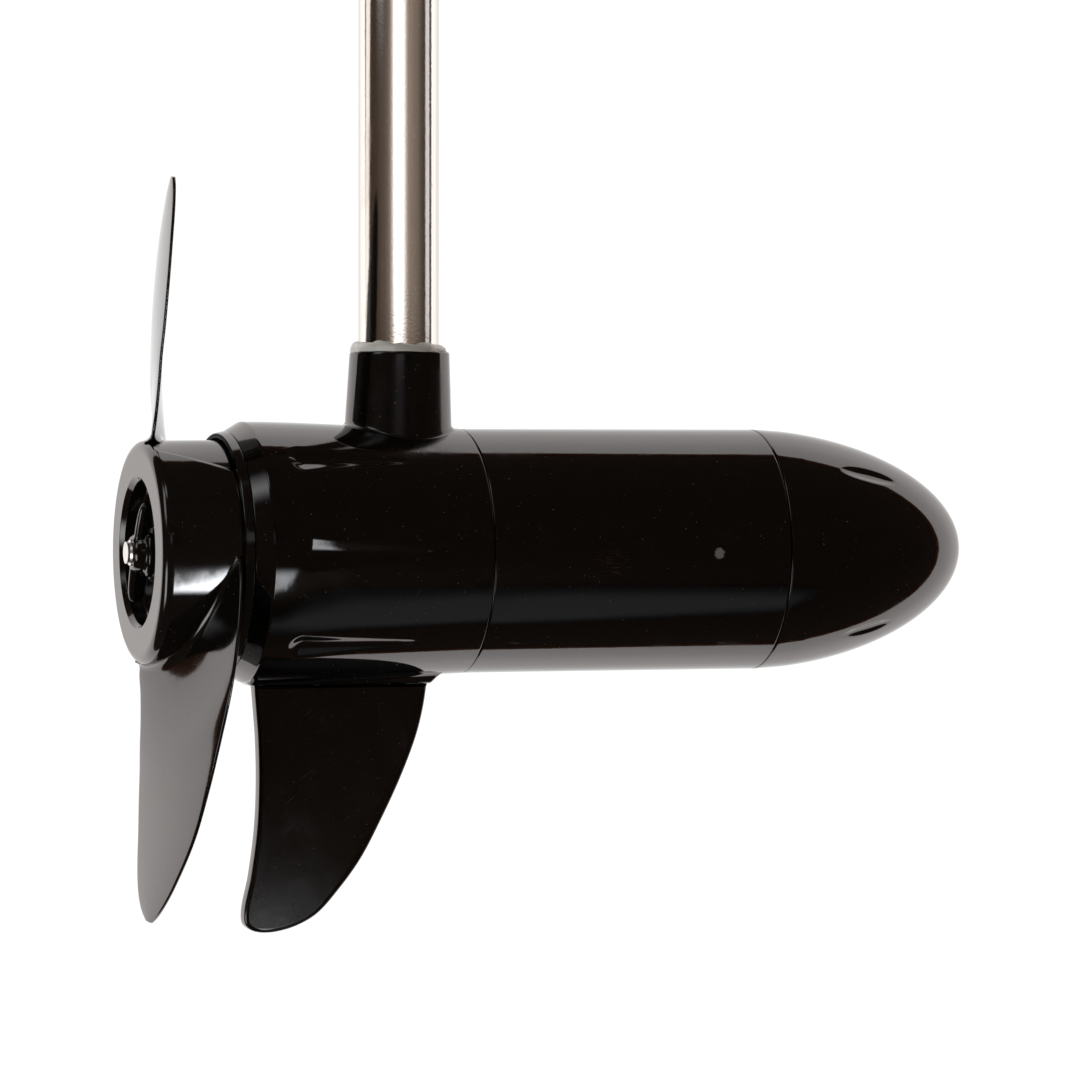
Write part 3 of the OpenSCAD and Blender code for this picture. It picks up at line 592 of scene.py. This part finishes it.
def collar_line(angle):
    """Fillet and cone of the collar in one upright plane, as [out, up] points."""
    fillet = 1.6
    edge_round = 0.7
    top_r, off_centre = 15.72, 0.24
    taper, lean = 0.048, 0.0085
    s, c = math.sin(angle), math.cos(angle)

    def cone(z):
        return top_r + off_centre * c + (COLLAR_TOP - z) * (taper - lean * 2.4 * c)

    def pod(out):
        x = np.array([out * c])
        r = housing_radius(np.clip(x, -50, 19))[0]
        return math.sqrt(r * r - (out * s) ** 2)

    def gap(contact):
        step = 0.01
        slope = (pod(contact + step) - pod(contact - step)) / (2 * step)
        n = math.hypot(1, slope)
        out = contact - fillet * slope / n
        up = pod(contact) + fillet / n
        return out - (cone(up) + fillet), out, up

    low, high = 14.0, 26.0
    for _ in range(40):
        middle = (low + high) / 2
        low, high = (low, middle) if gap(middle)[0] > 0 else (middle, high)
    _, out, up = gap(low)
    begin = math.atan2(pod(low) - up, low - out)
    end = math.pi + 0.045
    if begin < 0:
        begin += 2 * math.pi
    points = [[low + (low - out) * 0.02 + 0.25, pod(low + 0.25) - 0.05]]
    for k in range(13):
        a = begin + (end - begin) * k / 12
        points.append([out + fillet * math.cos(a), up + fillet * math.sin(a)])
    for z in np.linspace(points[-1][1] + 0.5, COLLAR_TOP - 1.0, 14):
        points.append([cone(z), z])
    edge = cone(COLLAR_TOP)
    for a in np.radians(np.linspace(5, 90, 8)):
        points.append([edge - edge_round + edge_round * math.cos(a),
                       COLLAR_TOP - edge_round + edge_round * math.sin(a)])
    points.append([TUBE_R + 1.2, COLLAR_TOP])
    points.append([TUBE_R + 0.3, COLLAR_TOP - 0.8])
    points.append([TUBE_R + 0.3, COLLAR_TOP - 8])
    return np.array(points)


def collar(shell):
    """The collar and its fillet, which lies on the housing all the way round."""
    columns = 192
    rows = []
    for k in range(columns):
        a = 2 * math.pi * k / columns
        line = collar_line(a)
        rows.append(np.column_stack([line[:, 0] * math.cos(a), line[:, 0] * math.sin(a),
                                     line[:, 1]]))
    shell.skin(np.array(rows).transpose(1, 0, 2))


# ---- Motor tube, nose and trim ring -------------------------------------------------------


def motor_tube_shell():
    ends = SEAM_REAR + SEAM_GAP, SEAM_FRONT - SEAM_GAP
    line = rounded([[ends[0], 34], [ends[0], POD_R, 0.5], [ends[1], POD_R, 0.5],
                    [ends[1], 34]], 6)
    shell = Shell()
    shell.turned(finer(line, 4), 240)
    return shell


# Nose dimples as [angle above the near side, middle, half length, half width, depth].
DIMPLES = [[45, 150, 11.2, 3.0, 0.75], [-49, 150, 9.6, 2.8, 0.75], [0, 155, 14.5, 5.4, 0.42],
           [135, 150, 11.2, 3.0, 0.75], [229, 150, 9.6, 2.8, 0.75], [180, 155, 14.5, 5.4, 0.42]]


def nose_radius(x):
    t = np.clip((x - SEAM_FRONT) / (NOSE_TIP - SEAM_FRONT), 0, 1)
    return POD_R * (1 - t**1.81) ** (1 / 1.97)


def nose():
    face = SEAM_FRONT + SEAM_GAP
    start = rounded([[face, 34], [face, POD_R, 0.5], [SEAM_FRONT + 1.2, POD_R]], 6)
    t = np.sin(np.linspace(math.radians(7.4), math.pi / 2, 190))
    x_line = SEAM_FRONT + (NOSE_TIP - SEAM_FRONT) * t
    line = np.concatenate([start, np.column_stack([x_line, nose_radius(x_line)])])
    x, radius, turn = axis_grid(line, 480)
    for middle, place, length, width, depth in DIMPLES:
        along = (x - place) / length
        across = off_angle(turn, middle) * radius
        lens = np.clip(1 - along**2, 0, None)
        bowl = lens - (across / width) ** 2
        radius = radius - depth * ease(bowl, 0.0, 1.15) * (radius > 5)
    shell = Shell()
    shell.skin(about_axis(x, radius, turn))
    return shell


def trim_ring():
    back, front = RING[0][0], HOUSING_BACK
    line = rounded([[front, 35.6], [back, 35.6, 0.35], [back, 37, 0.5], [front - 0.1, 37.7, 0.2],
                    [front - 0.1, 36]], 6)
    shell = Shell()
    shell.turned(finer(line, 2), 240)
    return shell


# ---- Shaft tube and sealant ---------------------------------------------------------------


def shaft_tube_shell():
    """The tube with softened cut ends; the head's hole is cut by a modifier."""
    inner = TUBE_R - TUBE_WALL
    low = COLLAR_TOP - 20
    line = rounded([[low, inner], [TUBE_TOP, inner, 0.2], [TUBE_TOP, TUBE_R, 0.3],
                    [low, TUBE_R, 0.2], [low, inner]], 4)
    line = finer(line, 6)
    angle = np.linspace(0, 2 * math.pi, 160, endpoint=False)
    shell = Shell()
    shell.skin(np.stack([line[:, 1:2] * np.cos(angle), line[:, 1:2] * np.sin(angle),
                         np.repeat(line[:, :1], len(angle), axis=1)], axis=-1))
    return shell


def head_hole_cutter():
    """A round cutter across the tube, near its top end."""
    shell = Shell()
    z = TUBE_TOP - HEAD_HOLE_DOWN
    sides = 48
    angle = np.linspace(0, 2 * math.pi, sides, endpoint=False)
    ring = np.column_stack([HEAD_HOLE_R * np.cos(angle), z + HEAD_HOLE_R * np.sin(angle)])
    ends = [np.column_stack([np.full(sides, x), ring]) for x in (-20, 20)]
    shell.skin(np.array(ends))
    shell.faces += [tuple(range(sides)), tuple(range(2 * sides - 1, sides - 1, -1))]
    return shell


def sealant():
    """A bead run by hand: its top and bottom edges wander and it bulges unevenly."""
    columns = 180
    a = np.linspace(0, 2 * math.pi, columns, endpoint=False)
    near = -math.pi / 2
    sway = np.cos(a - near)
    top = BEAD[1][2] - 0.9 - 0.5 * np.sin(a - near)
    top = top + 0.32 * np.sin(5 * a + 0.6) + 0.22 * np.sin(11 * a + 2) + 0.12 * np.sin(23 * a)
    top = np.minimum(top, BEAD[1][2] - 0.02)
    out = TUBE_R + 2.55 + 0.22 * np.sin(4 * a + 1) + 0.14 * np.sin(9 * a + 0.4) + 0.1 * sway
    low = COLLAR_TOP - 0.15 + 0.12 * np.sin(7 * a + 1.3)
    rows = []
    for t in np.linspace(0, 1, 16):
        angle = t * math.pi / 2
        bulge = math.cos(angle) ** 0.8
        r = TUBE_R - 0.02 + (out - TUBE_R) * bulge
        z = low + (top - low) * math.sin(angle) ** 0.9
        rows.append(np.column_stack([r * np.cos(a), r * np.sin(a), z + 0 * a]))
    inner = TUBE_R - 0.05
    rows.insert(0, np.column_stack([inner * np.cos(a), inner * np.sin(a), low - 0.4]))
    shell = Shell()
    shell.skin(np.array(rows), close=True)
    return shell


# ---- Skeg ---------------------------------------------------------------------------------

# Skeg's outline below the pad, from its rear top corner round the tip to the front.
SKEG_LINE = [[-47.6, -41.6], [-46.9, -50], [-46.3, -58], [-46, -72], [-46.6, -86],
             [-48.6, -101], [-50.8, -112.5], [-50.4, -115.8], [-48.4, -117.6], [-44.2, -118.5],
             [-38.5, -117.9], [-33, -116.2], [-27.3, -113], [-20.3, -105.7], [-13.2, -96.4],
             [-6.2, -83.7], [0.3, -70.2], [5.3, -57.3], [7.4, -49], [8.6, -41.6]]


def closed_outline(points, step):
    """A smooth outline through the points, with a straight top edge between its ends."""
    points = np.array(points, float)
    way = np.concatenate([[0], np.cumsum(np.linalg.norm(np.diff(points, axis=0), axis=1))])
    at = np.linspace(0, way[-1], int(way[-1] / step))
    curve = smooth_curve(np.column_stack([way, points]), at)
    top = finer(np.array([curve[-1], curve[0]]), step)[1:-1]
    return np.concatenate([curve, top])


def inset(outline, distance):
    """The outline moved inwards along its own normals."""
    ahead = np.roll(outline, -1, axis=0) - np.roll(outline, 1, axis=0)
    ahead /= np.linalg.norm(ahead, axis=1)[:, None]
    normal = np.column_stack([-ahead[:, 1], ahead[:, 0]])
    return outline + normal * np.asarray(distance).reshape(-1, 1)


def skeg_shell():
    """A flat blade whose front edge is worn rounder than its back."""
    outline = closed_outline(SKEG_LINE, 0.8)
    half = SKEG_T / 2
    x, z = outline[:, 0], outline[:, 1]
    front = ease(x + 0.28 * (z + 118), -28, 2)
    at_top = ease(z, -43.5, -42)
    width = 1.3 + 1.5 * front * (1 - at_top) - 0.5 * at_top
    rows = []
    for side in (-1, 1):
        ring = []
        for t in np.linspace(0, math.pi / 2, 9):
            step = width * (1 - math.cos(t))
            depth = half - 1.25 + 1.25 * math.sin(t)
            ring.append((inset(outline, step), side * depth))
        ring.append((inset(outline, width + 0.15), side * half))
        rows.append(ring)
    order = list(reversed(rows[0])) + rows[1]
    grid = np.array([np.column_stack([line[:, 0], np.full(len(line), y), line[:, 1]])
                     for line, y in order])
    grid[..., 2] = np.maximum(grid[..., 2], SKEG[0][2] + 0.02)
    shell = Shell()
    shell.skin(grid)
    count = len(outline)
    last = (len(order) - 1) * count
    shell.faces.append(tuple(range(count)))
    shell.faces.append(tuple(range(last + count - 1, last - 1, -1)))
    corners = [[x, y, z] for x in (-44, 2) for y in (-1.5, 1.5) for z in (-44, -39)]
    shell.add(corners, BOX_FACES)
    return shell


# ---- Propeller ----------------------------------------------------------------------------

# Blade sections as [radius, angle of the leading edge, of the trailing edge, x on the middle
# line, advance per degree, thickness].
BLADE = [
    [33, 92, -10, -79.2, 0.206, 4.6], [38, 85, -13, -78.6, 0.206, 4.2],
    [45, 75, -12.8, -78, 0.206, 3.6], [54, 63, -12.5, -77.6, 0.206, 3.2],
    [62, 52, -12.5, -77.4, 0.206, 3], [70, 38.5, -12.7, -76.9, 0.21, 2.8],
    [80, 26, -12.9, -76.4, 0.22, 2.6], [90, 16, -12.8, -75.9, 0.235, 2.4],
    [100, 6.8, -12.7, -75.5, 0.25, 2.2], [106, 2, -12.4, -75.2, 0.26, 2],
    [111, -1.8, -11.6, -75, 0.265, 1.8], [114.5, -4.6, -10.3, -74.8, 0.27, 1.6],
    [TIP_R, -6.4, -8.8, -74.7, 0.27, 1.3]]


def blade_section(row):
    """Closed section on its own cylinder: the rear face out, then the front face back."""
    radius, lead, trail, x_middle, advance, thick = row
    chord = max(abs(lead - trail) * math.radians(1) * radius, 1.0)
    edge = 0.42
    near = np.array([0, 0.03, 0.1, 0.22, 0.4, 0.65, 1.0, 1.6, 2.6]) / chord
    near = near * min(1, 0.3 / near[-1])
    middle = np.linspace(near[-1], 1 - near[-1], 34)[1:-1]
    s = np.concatenate([near, middle, (1 - near)[::-1]])
    from_edge = np.minimum(s, 1 - s) * chord
    rounding = np.sqrt(np.clip(1 - (1 - np.clip(from_edge / 0.55, 0, 1)) ** 2, 0, 1))
    half = (edge + (thick / 2 - edge) * np.sin(math.pi * s) ** 0.7) * rounding
    fillet = 2.6
    above = radius - HUB_R - fillet
    if above < 0:
        flare = fillet - math.sqrt(max(fillet**2 - min(-above, fillet) ** 2, 0))
        half = half + flare * 0.75 * np.clip(rounding, 0.35, 1)
    angle = lead + (trail - lead) * s
    x = x_middle + advance * angle
    a = np.radians(angle)
    y, z = -radius * np.sin(a), -radius * np.cos(a)
    rear = np.column_stack([x - half, y, z])
    face = np.column_stack([x + half, y, z])[::-1][1:-1]
    return np.concatenate([rear, face])


def blade(shell, turn):
    """One blade, lofted through many sections and closed at its tip."""
    radii = np.concatenate([np.linspace(33, 40, 22)[:-1], np.linspace(40, 110, 48)[:-1],
                            TIP_R - 6.5 * (1 - np.sin(np.linspace(0, math.pi / 2, 14)))])
    rest = smooth_curve(BLADE, radii)
    rows = np.array([blade_section([r, *values]) for r, values in zip(radii, rest)])
    rows = seated_on_rotor(rows, turn)
    start = shell.count
    shell.skin(rows)
    ring = rows.shape[1]
    last = start + (len(rows) - 1) * ring
    half = ring // 2
    for k in range(half):
        ends = (last + k, last + k + 1, last + (ring - k - 1) % ring, last + (ring - k) % ring)
        shell.faces.append(ends)


def hub(shell):
    """The hub's drum, rim, recess and boss as one closed turned skin."""
    recess_r, recess_floor = 22.3, -78
    bore_r, step_x, step_r = 5.2, -73, 6.05
    boss_r, web_x = 10, -75.2
    groove_r, groove_x = 25, -81.4
    drum_inner = 32
    line = rounded([
        [HUB_FRONT, drum_inner + 0.4], [HUB_FRONT, HUB_R, 0.7], [HUB_BACK, HUB_R, 3.0],
        [HUB_BACK, recess_r + 1.3, 0.3], [HUB_BACK + 1.5, recess_r, 0.5],
        [recess_floor, recess_r, 1.0], [recess_floor, bore_r, 0.2],
        [step_x, bore_r, 0.2], [step_x, step_r, 0.2],
        [BOSS_FRONT, step_r, 0.3], [BOSS_FRONT, boss_r, 0.4], [web_x, boss_r, 0.8],
        [web_x, groove_r, 0.8], [groove_x, groove_r, 0.5],
        [groove_x, drum_inner, 0.6], [HUB_FRONT, drum_inner]], 9)
    drum(shell, finer(line, 0.8))
    for k in range(6):
        rib(shell, math.radians(60 * k))


def drum(shell, line):
    """The hub's turned skin, with a low step off each blade's root."""
    x, radius, turn = axis_grid(line, 480)
    for start in (0, 180):
        edge = 63 + start - 18 * (x + 79) / 21
        above = off_angle(turn, edge) * HUB_R
        step = 0.5 * ease(above, 0, 0.6) * ease(above, 24, 5)
        radius = radius - step * (radius > 33.5) * ease(x, -83.5, -81)
    shell.skin(about_axis(x, radius, turn))


def rib(shell, turn):
    """One web between the boss and the drum."""
    corners = np.array([[x, y, z] for x in (-75.5, BOSS_FRONT)
                        for y in (-1.1, 1.1) for z in (9.4, 32.3)])
    c, s = math.cos(turn), math.sin(turn)
    turned = np.column_stack([corners[:, 0], c * corners[:, 1] - s * corners[:, 2],
                              s * corners[:, 1] + c * corners[:, 2]])
    shell.add(turned, BOX_FACES)


def propeller():
    shell = Shell()
    hub(shell)
    for turn in (0, math.pi):
        blade(shell, turn)
    return shell


# ---- Wing nut -----------------------------------------------------------------------------

NUT_REACH = 17.2


def nut_wing(shell, turn):
    """One wing, curved back at its tip and thinned towards its rounded edge."""
    start_reach, steps, around = 2, 16, 28
    rows = []
    for t in np.linspace(0, 1, steps):
        reach = start_reach + (NUT_REACH - start_reach) * math.sin(t * math.pi / 2)
        low = -86.0 + 1.2 * t**2
        high = -80.0 - 0.9 * t**2
        wide = (high - low) / 2 * math.sqrt(max(1 - t**6, 0.0)) + 0.02
        middle = (high + low) / 2
        thick = (1.7 - 0.65 * t) * math.sqrt(max(1 - t**8, 0.0)) + 0.02
        sweep = 0.9 * t**2
        ring = []
        for a in np.linspace(0, 2 * math.pi, around, endpoint=False):
            ca, sa = math.cos(a), math.sin(a)
            px = middle + wide * math.copysign(abs(ca) ** 0.75, ca)
            py = sweep + thick * math.copysign(abs(sa) ** 0.8, sa)
            ring.append([px, py, reach])
        rows.append(ring)
    rows = seated_on_rotor(np.array(rows), turn)
    start = shell.count
    shell.skin(rows)
    last = start + (steps - 1) * around
    shell.faces.append(tuple(range(last, last + around)))
    shell.faces.append(tuple(range(start + around - 1, start - 1, -1)))


def prop_nut():
    """Domed boss, round flange and two wings, as overlapping skins that melted() joins."""
    seat = NUT[1][0]
    back = NUT[0][0]
    shell = Shell()
    shell.turned(finer(rounded([
        [seat, 4.05], [seat, 7.7, 0.2], [seat - 2.6, 7.7, 0.9], [seat - 3.1, 6.2, 0.6],
        [seat - 4.6, 5.9, 0.6], [back + 0.9, 5.5, 1.3], [back, 4.7, 0.5], [back, 4.05],
        [seat, 4.05]], 6), 0.6), 96)
    for turn in (math.radians(30), math.radians(210)):
        nut_wing(shell, turn)
    return shell


def melted(piece, voxel_mm, passes):
    """Joins a piece's overlapping skins into one and softens where they meet."""
    remesh = piece.modifiers.new("join", "REMESH")
    remesh.mode = "VOXEL"
    remesh.voxel_size = voxel_mm / 1000
    remesh.use_smooth_shade = True
    soften = piece.modifiers.new("soften", "SMOOTH")
    soften.factor = 0.5
    soften.iterations = passes
    return piece


# ---- Seating all pieces -------------------------------------------------------------------

paint = paint_black()
plastic = moulded_black()
scuffed = scuffed_black()
stainless = brushed_stainless()
silicone = pale_sealant()
spring_steel = hidden_finish("spring_steel", (0.66, 0.65, 0.63), "brushed_steel").material


def coil_spring(node):
    """A brush's spring with closed ends, coiled to fill its CAD node's box."""
    low, high = box_mm(node)
    wire = 0.35
    turns = 5
    radius = (high[0] - low[0]) / 2 - wire
    share = np.linspace(0, 1, 24 * turns + 1)
    spin = 2 * math.pi * turns * share
    around = np.linspace(0, 2 * math.pi, 10, endpoint=False)
    out = (radius + wire * np.cos(around))[None, :]
    rise = np.clip((share - 0.12) / 0.76, 0, 1) * (high[2] - low[2] - 2 * wire) + low[2] + wire
    shell = Shell()
    shell.skin(np.stack([
        (high[0] + low[0]) / 2 + out * np.cos(spin)[:, None],
        (high[1] + low[1]) / 2 + out * np.sin(spin)[:, None],
        rise[:, None] + wire * np.sin(around)[None, :]], axis=-1))
    last = shell.count - len(around)
    shell.faces.append(tuple(range(len(around))))
    shell.faces.append(tuple(range(last, last + len(around))))
    spring = shell.made(node + "_coil", spring_steel, "pod", "bright_steel", [node])
    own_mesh(spring)


def cut(piece, cutter):
    """Cuts one mesh with another and removes the cutter."""
    modifier = piece.modifiers.new("cut", "BOOLEAN")
    modifier.operation = "DIFFERENCE"
    modifier.solver = "EXACT"
    modifier.object = cutter
    graph = bpy.context.evaluated_depsgraph_get()
    mesh = bpy.data.meshes.new_from_object(piece.evaluated_get(graph))
    piece.modifiers.remove(modifier)
    piece.data = mesh
    bpy.data.objects.remove(cutter)
    shade(mesh)


def build_pieces():
    """Makes each visible piece and stands it in for its CAD node."""
    shell = housing()
    collar(shell)
    shell.made("housing_shell", paint, "pod", "pod_paint", ["rear_housing"])
    motor_tube_shell().made("motor_tube_shell", paint, "pod", "pod_paint", ["motor_tube"])
    nose().made("nose_shell", paint, "pod", "pod_paint", ["nose_cone"])
    trim_ring().made("trim_ring", plastic, "pod", "gloss_plastic", ["rear_trim_ring"])
    skeg_shell().made("skeg_blade", scuffed, "pod", "gloss_plastic", ["skeg"], 50)
    propeller().made("propeller_moulding", plastic, "rotor", "gloss_plastic", ["propeller"], 50)
    nut = prop_nut().made("wing_nut", plastic, "rotor", "gloss_plastic", ["prop_nut"], 60)
    melted(nut, 0.28, 6)
    sealant().made("sealant_bead", silicone, "pod", "sealant", ["shaft_sealant"], 60)
    coil_spring("brush_spring_upper")
    coil_spring("brush_spring_lower")
    tube = shaft_tube_shell().made("tube", stainless, "pod", "stainless", ["shaft_tube"])
    cutter = head_hole_cutter().made("cutter", stainless, "pod", "stainless")
    cut(tube, cutter)


def finish_inner_nodes():
    """Gives every carried-over CAD node a material of its own kind."""
    slots = {m["slot"]: m for m in frame["record"]["materials"]}
    special = {"lamination": laminations, "copper": enamelled_copper}
    made = {}
    for part in frame["record"]["subparts"]:
        name = part["material_slot"]
        if name not in made:
            entry = slots[name]
            if name in special:
                made[name] = special[name]()
            else:
                made[name] = hidden_finish(name, entry["base_color"], entry["class"]).material
        data = frame["nodes"][part["node"]].data
        data.materials.clear()
        data.materials.append(made[name])


build_pieces()
finish_inner_nodes()


# ---- Camera -------------------------------------------------------------------------------


def place_camera():
    data = bpy.data.cameras.new("camera")
    data.lens = 160.83
    data.sensor_width = 36
    data.shift_y = -0.0704
    data.clip_end = 30
    camera = bpy.data.objects.new("camera", data)
    bpy.context.scene.collection.objects.link(camera)
    camera.location = (-0.4372, -1.4533, AXIS_Z + 0.0274)
    camera.rotation_euler = (math.radians(90), 0, math.radians(-VIEW_TURN))
    bpy.context.scene.camera = camera


# ---- Stage and light ----------------------------------------------------------------------

BAND_DISTANCE = 820
PANEL_DISTANCE = 850


def emitter(name, colour, strength, clear=False):
    """A board's glow, scaled at each corner by how bright the board is there.

    A clear board only adds its glow to what is behind it."""
    material = bpy.data.materials.new(name)
    material.use_nodes = True
    tree = material.node_tree
    shader = tree.nodes["Principled BSDF"]
    shader.inputs["Base Color"].default_value = (*(0.1 * c for c in colour), 1)
    shader.inputs["Roughness"].default_value = 1
    shader.inputs["Specular IOR Level"].default_value = 0
    shader.inputs["Emission Color"].default_value = (*colour, 1)
    if clear:
        shader.inputs["Base Color"].default_value = (0, 0, 0, 1)
        both = tree.nodes.new("ShaderNodeAddShader")
        tree.links.new(shader.outputs[0], both.inputs[0])
        tree.links.new(tree.nodes.new("ShaderNodeBsdfTransparent").outputs[0], both.inputs[1])
        tree.links.new(both.outputs[0], tree.nodes["Material Output"].inputs["Surface"])
    glow = tree.nodes.new("ShaderNodeAttribute")
    glow.attribute_name = "glow"
    scale = tree.nodes.new("ShaderNodeMath")
    scale.operation = "MULTIPLY"
    scale.inputs[1].default_value = strength
    tree.links.new(glow.outputs["Fac"], scale.inputs[0])
    tree.links.new(scale.outputs["Value"], shader.inputs["Emission Strength"])
    return material


def board(name, grid, material, glow=None, seen=False):
    """A sheet of the studio through a grid of points in pod millimetres."""
    mesh = bpy.data.meshes.new(name)
    grid = np.asarray(grid, float)
    rows, columns = grid.shape[:2]
    points = grid.reshape(-1, 3) / 1000 + np.array([0, 0, AXIS_Z])
    mesh.from_pydata(points.tolist(), [], grid_faces(rows, columns, False))
    mesh.materials.append(material)
    mesh.polygons.foreach_set("use_smooth", [True] * len(mesh.polygons))
    shine = np.ones((rows, columns)) if glow is None else np.asarray(glow, float)
    mesh.attributes.new("glow", "FLOAT", "POINT").data.foreach_set("value", shine.ravel())
    piece = bpy.data.objects.new(name, mesh)
    bpy.context.scene.collection.objects.link(piece)
    piece.visible_camera = seen
    return piece


def toward(turn, rise):
    """Direction that far right of the photographer and up, in degrees."""
    a, e = np.radians(turn - VIEW_TURN), np.radians(rise)
    return np.stack([np.sin(a) * np.cos(e), -np.cos(a) * np.cos(e), np.sin(e)], axis=-1)


def panel(name, turns, rises, distance, colour, strength, centre=(0, 0, 0), clear=False):
    """A soft-edged panel spanning those directions from a centre."""
    u, v = np.meshgrid(np.linspace(0, 1, 25), np.linspace(0, 1, 25))
    glow = ease(np.minimum(u, 1 - u), 0, 0.3) * ease(np.minimum(v, 1 - v), 0, 0.3)
    turn = turns[0] + (turns[1] - turns[0]) * u
    rise = rises[0] + (rises[1] - rises[0]) * v
    place = toward(turn, rise) * distance + np.array(centre)
    return board(name, place, emitter(name, colour, strength, clear), glow)


def light_only(emitting, name):
    """Makes a board light one piece and no other."""
    lit = bpy.data.collections.new(emitting.name + "_lights")
    lit.objects.link(bpy.data.objects[name])
    emitting.light_linking.receiver_collection = lit


def tube_band(name, turns, glows, colour, rises=(4, 25), lean=0):
    """A clear board that lights the shaft tube alone, with its glow given along the turns.

    lean shifts its upper edge to the right, in degrees."""
    steps = 90
    u, v = np.meshgrid(np.linspace(0, 1, steps), np.linspace(0, 1, 12))
    turn = turns[0] + (turns[-1] - turns[0]) * u
    glow = np.interp(turn, turns, glows)
    rise = rises[0] + (rises[1] - rises[0]) * v
    place = toward(turn + lean * v, rise) * BAND_DISTANCE + np.array([0, 0, 20])
    piece = board(name, place, emitter(name, colour, 1.0, clear=True), glow)
    light_only(piece, "tube")


def dome(name, radius, opening, colour, glows, centre=(40, 0, 0)):
    """Part of a sphere round the photographer's side, between two angles from it."""
    steps = 36
    away = np.radians(np.linspace(*opening, steps))[:, None]
    spin = np.radians(np.linspace(0, 360, 73))[None, :]
    ahead, side, up = toward(0, 0), toward(90, 0), np.array([0, 0, 1.0])
    ring = np.cos(spin)[..., None] * side + np.sin(spin)[..., None] * up
    grid = np.cos(away)[..., None] * ahead + np.sin(away)[..., None] * ring
    glow = np.interp(np.linspace(0, 1, steps), np.linspace(0, 1, len(glows)), glows)
    glow = np.repeat(glow[:, None], 73, axis=1)
    return board(name, grid * radius + np.array(centre), emitter(name, colour, 1.0), glow)


def light_studio():
    """White room behind, a dark one round the camera side, and a few soft panels."""
    world = bpy.data.worlds.new("world")
    bpy.context.scene.world = world
    world.use_nodes = True
    back = world.node_tree.nodes["Background"]
    back.inputs["Color"].default_value = (1.0, 0.99, 0.985, 1)
    back.inputs["Strength"].default_value = 1.06
    board("floor", [[[x, y, -1000] for y in (-9000, 0, 9000)] for x in (-9000, 0, 9000)],
          emitter("pale_floor", (1, 1, 1), 0.97), seen=True)
    dome("dark_room", 900, (0, 108), (1, 0.72, 0.55), [0.006, 0.006])
    dome("warm_edge", 893, (105, 108.5), (1, 0.36, 0.16), [0.0, 0.09, 0.05])
    dome("white_sweep", 905, (108, 150), (1, 0.95, 0.93), [1.9, 1.65, 1.5, 1.2, 1.06])
    warm, cool = (1, 0.84, 0.72), (0.93, 0.96, 1)
    tube_band("tube_brown",
              [-76, -66, -56, -46, -36, -26, -20, 20, 28, 36, 46, 56, 64, 72, 80],
              [0, 0.01, 0.03, 0.06, 0.1, 0.18, 0.3, 0.5, 0.36, 0.29, 0.24, 0.2, 0.11, 0.05, 0],
              warm)
    tube_band("tube_streak", [-25, -19, -13, -8, 2, 12, 17, 24, 30],
              [0, 0.2, 1.1, 2.6, 3.0, 2.6, 1.1, 0.2, 0], (1, 1, 1))
    tube_band("tube_line", [83, 85, 90, 97, 99], [0, 1.3, 0.9, 1.4, 0], cool)
    tube_band("tube_white", [-112, -110, -94.6, -94.4], [0, 1.5, 1.5, 0], (1, 0.98, 0.96), lean=11)
    tube_band("tube_edge", [-94.6, -94, -93, -92.4], [0, 0.5, 0.5, 0], (1, 0.4, 0.12), lean=11)
    panel("collar_streak", (-9, 15), (4, 16), BAND_DISTANCE, cool, 0.5, (0, 0, 60), clear=True)
    panel("left_high", (-66, -38), (16, 56), PANEL_DISTANCE, (1, 1, 1), 2.6)
    panel("left_low", (-66, -38), (-40, -4), PANEL_DISTANCE, (1, 1, 1), 5.5)
    panel("top_left", (-40, -8), (50, 68), PANEL_DISTANCE, (1, 1, 1), 2.2)
    strip = (33.8, 38.6), (-42, -11)
    behind_hub = (-70, -33, -11)
    piece = panel("hub_strip", *strip, 800, cool, 36, behind_hub, clear=True)
    light_only(piece, "propeller_moulding")
    panel("shoulder_strip", *strip, 780, cool, 7, behind_hub, clear=True)
    panel("low_right", (38, 66), (-72, -30), 870, cool, 0.25)
    fill = bpy.data.lights.new("fill", "AREA")
    fill.shape = "DISK"
    fill.size = 1.2
    fill.energy = 270
    light = bpy.data.objects.new("fill", fill)
    bpy.context.scene.collection.objects.link(light)
    spot = toward(-25, 38) * 1.6
    light.location = (spot[0], spot[1], spot[2] + AXIS_Z)
    light.rotation_euler = Vector(-spot).to_track_quat("-Z", "Y").to_euler()
    light.visible_glossy = False
    bpy.context.scene.view_settings.view_transform = "Standard"


place_camera()
light_studio()
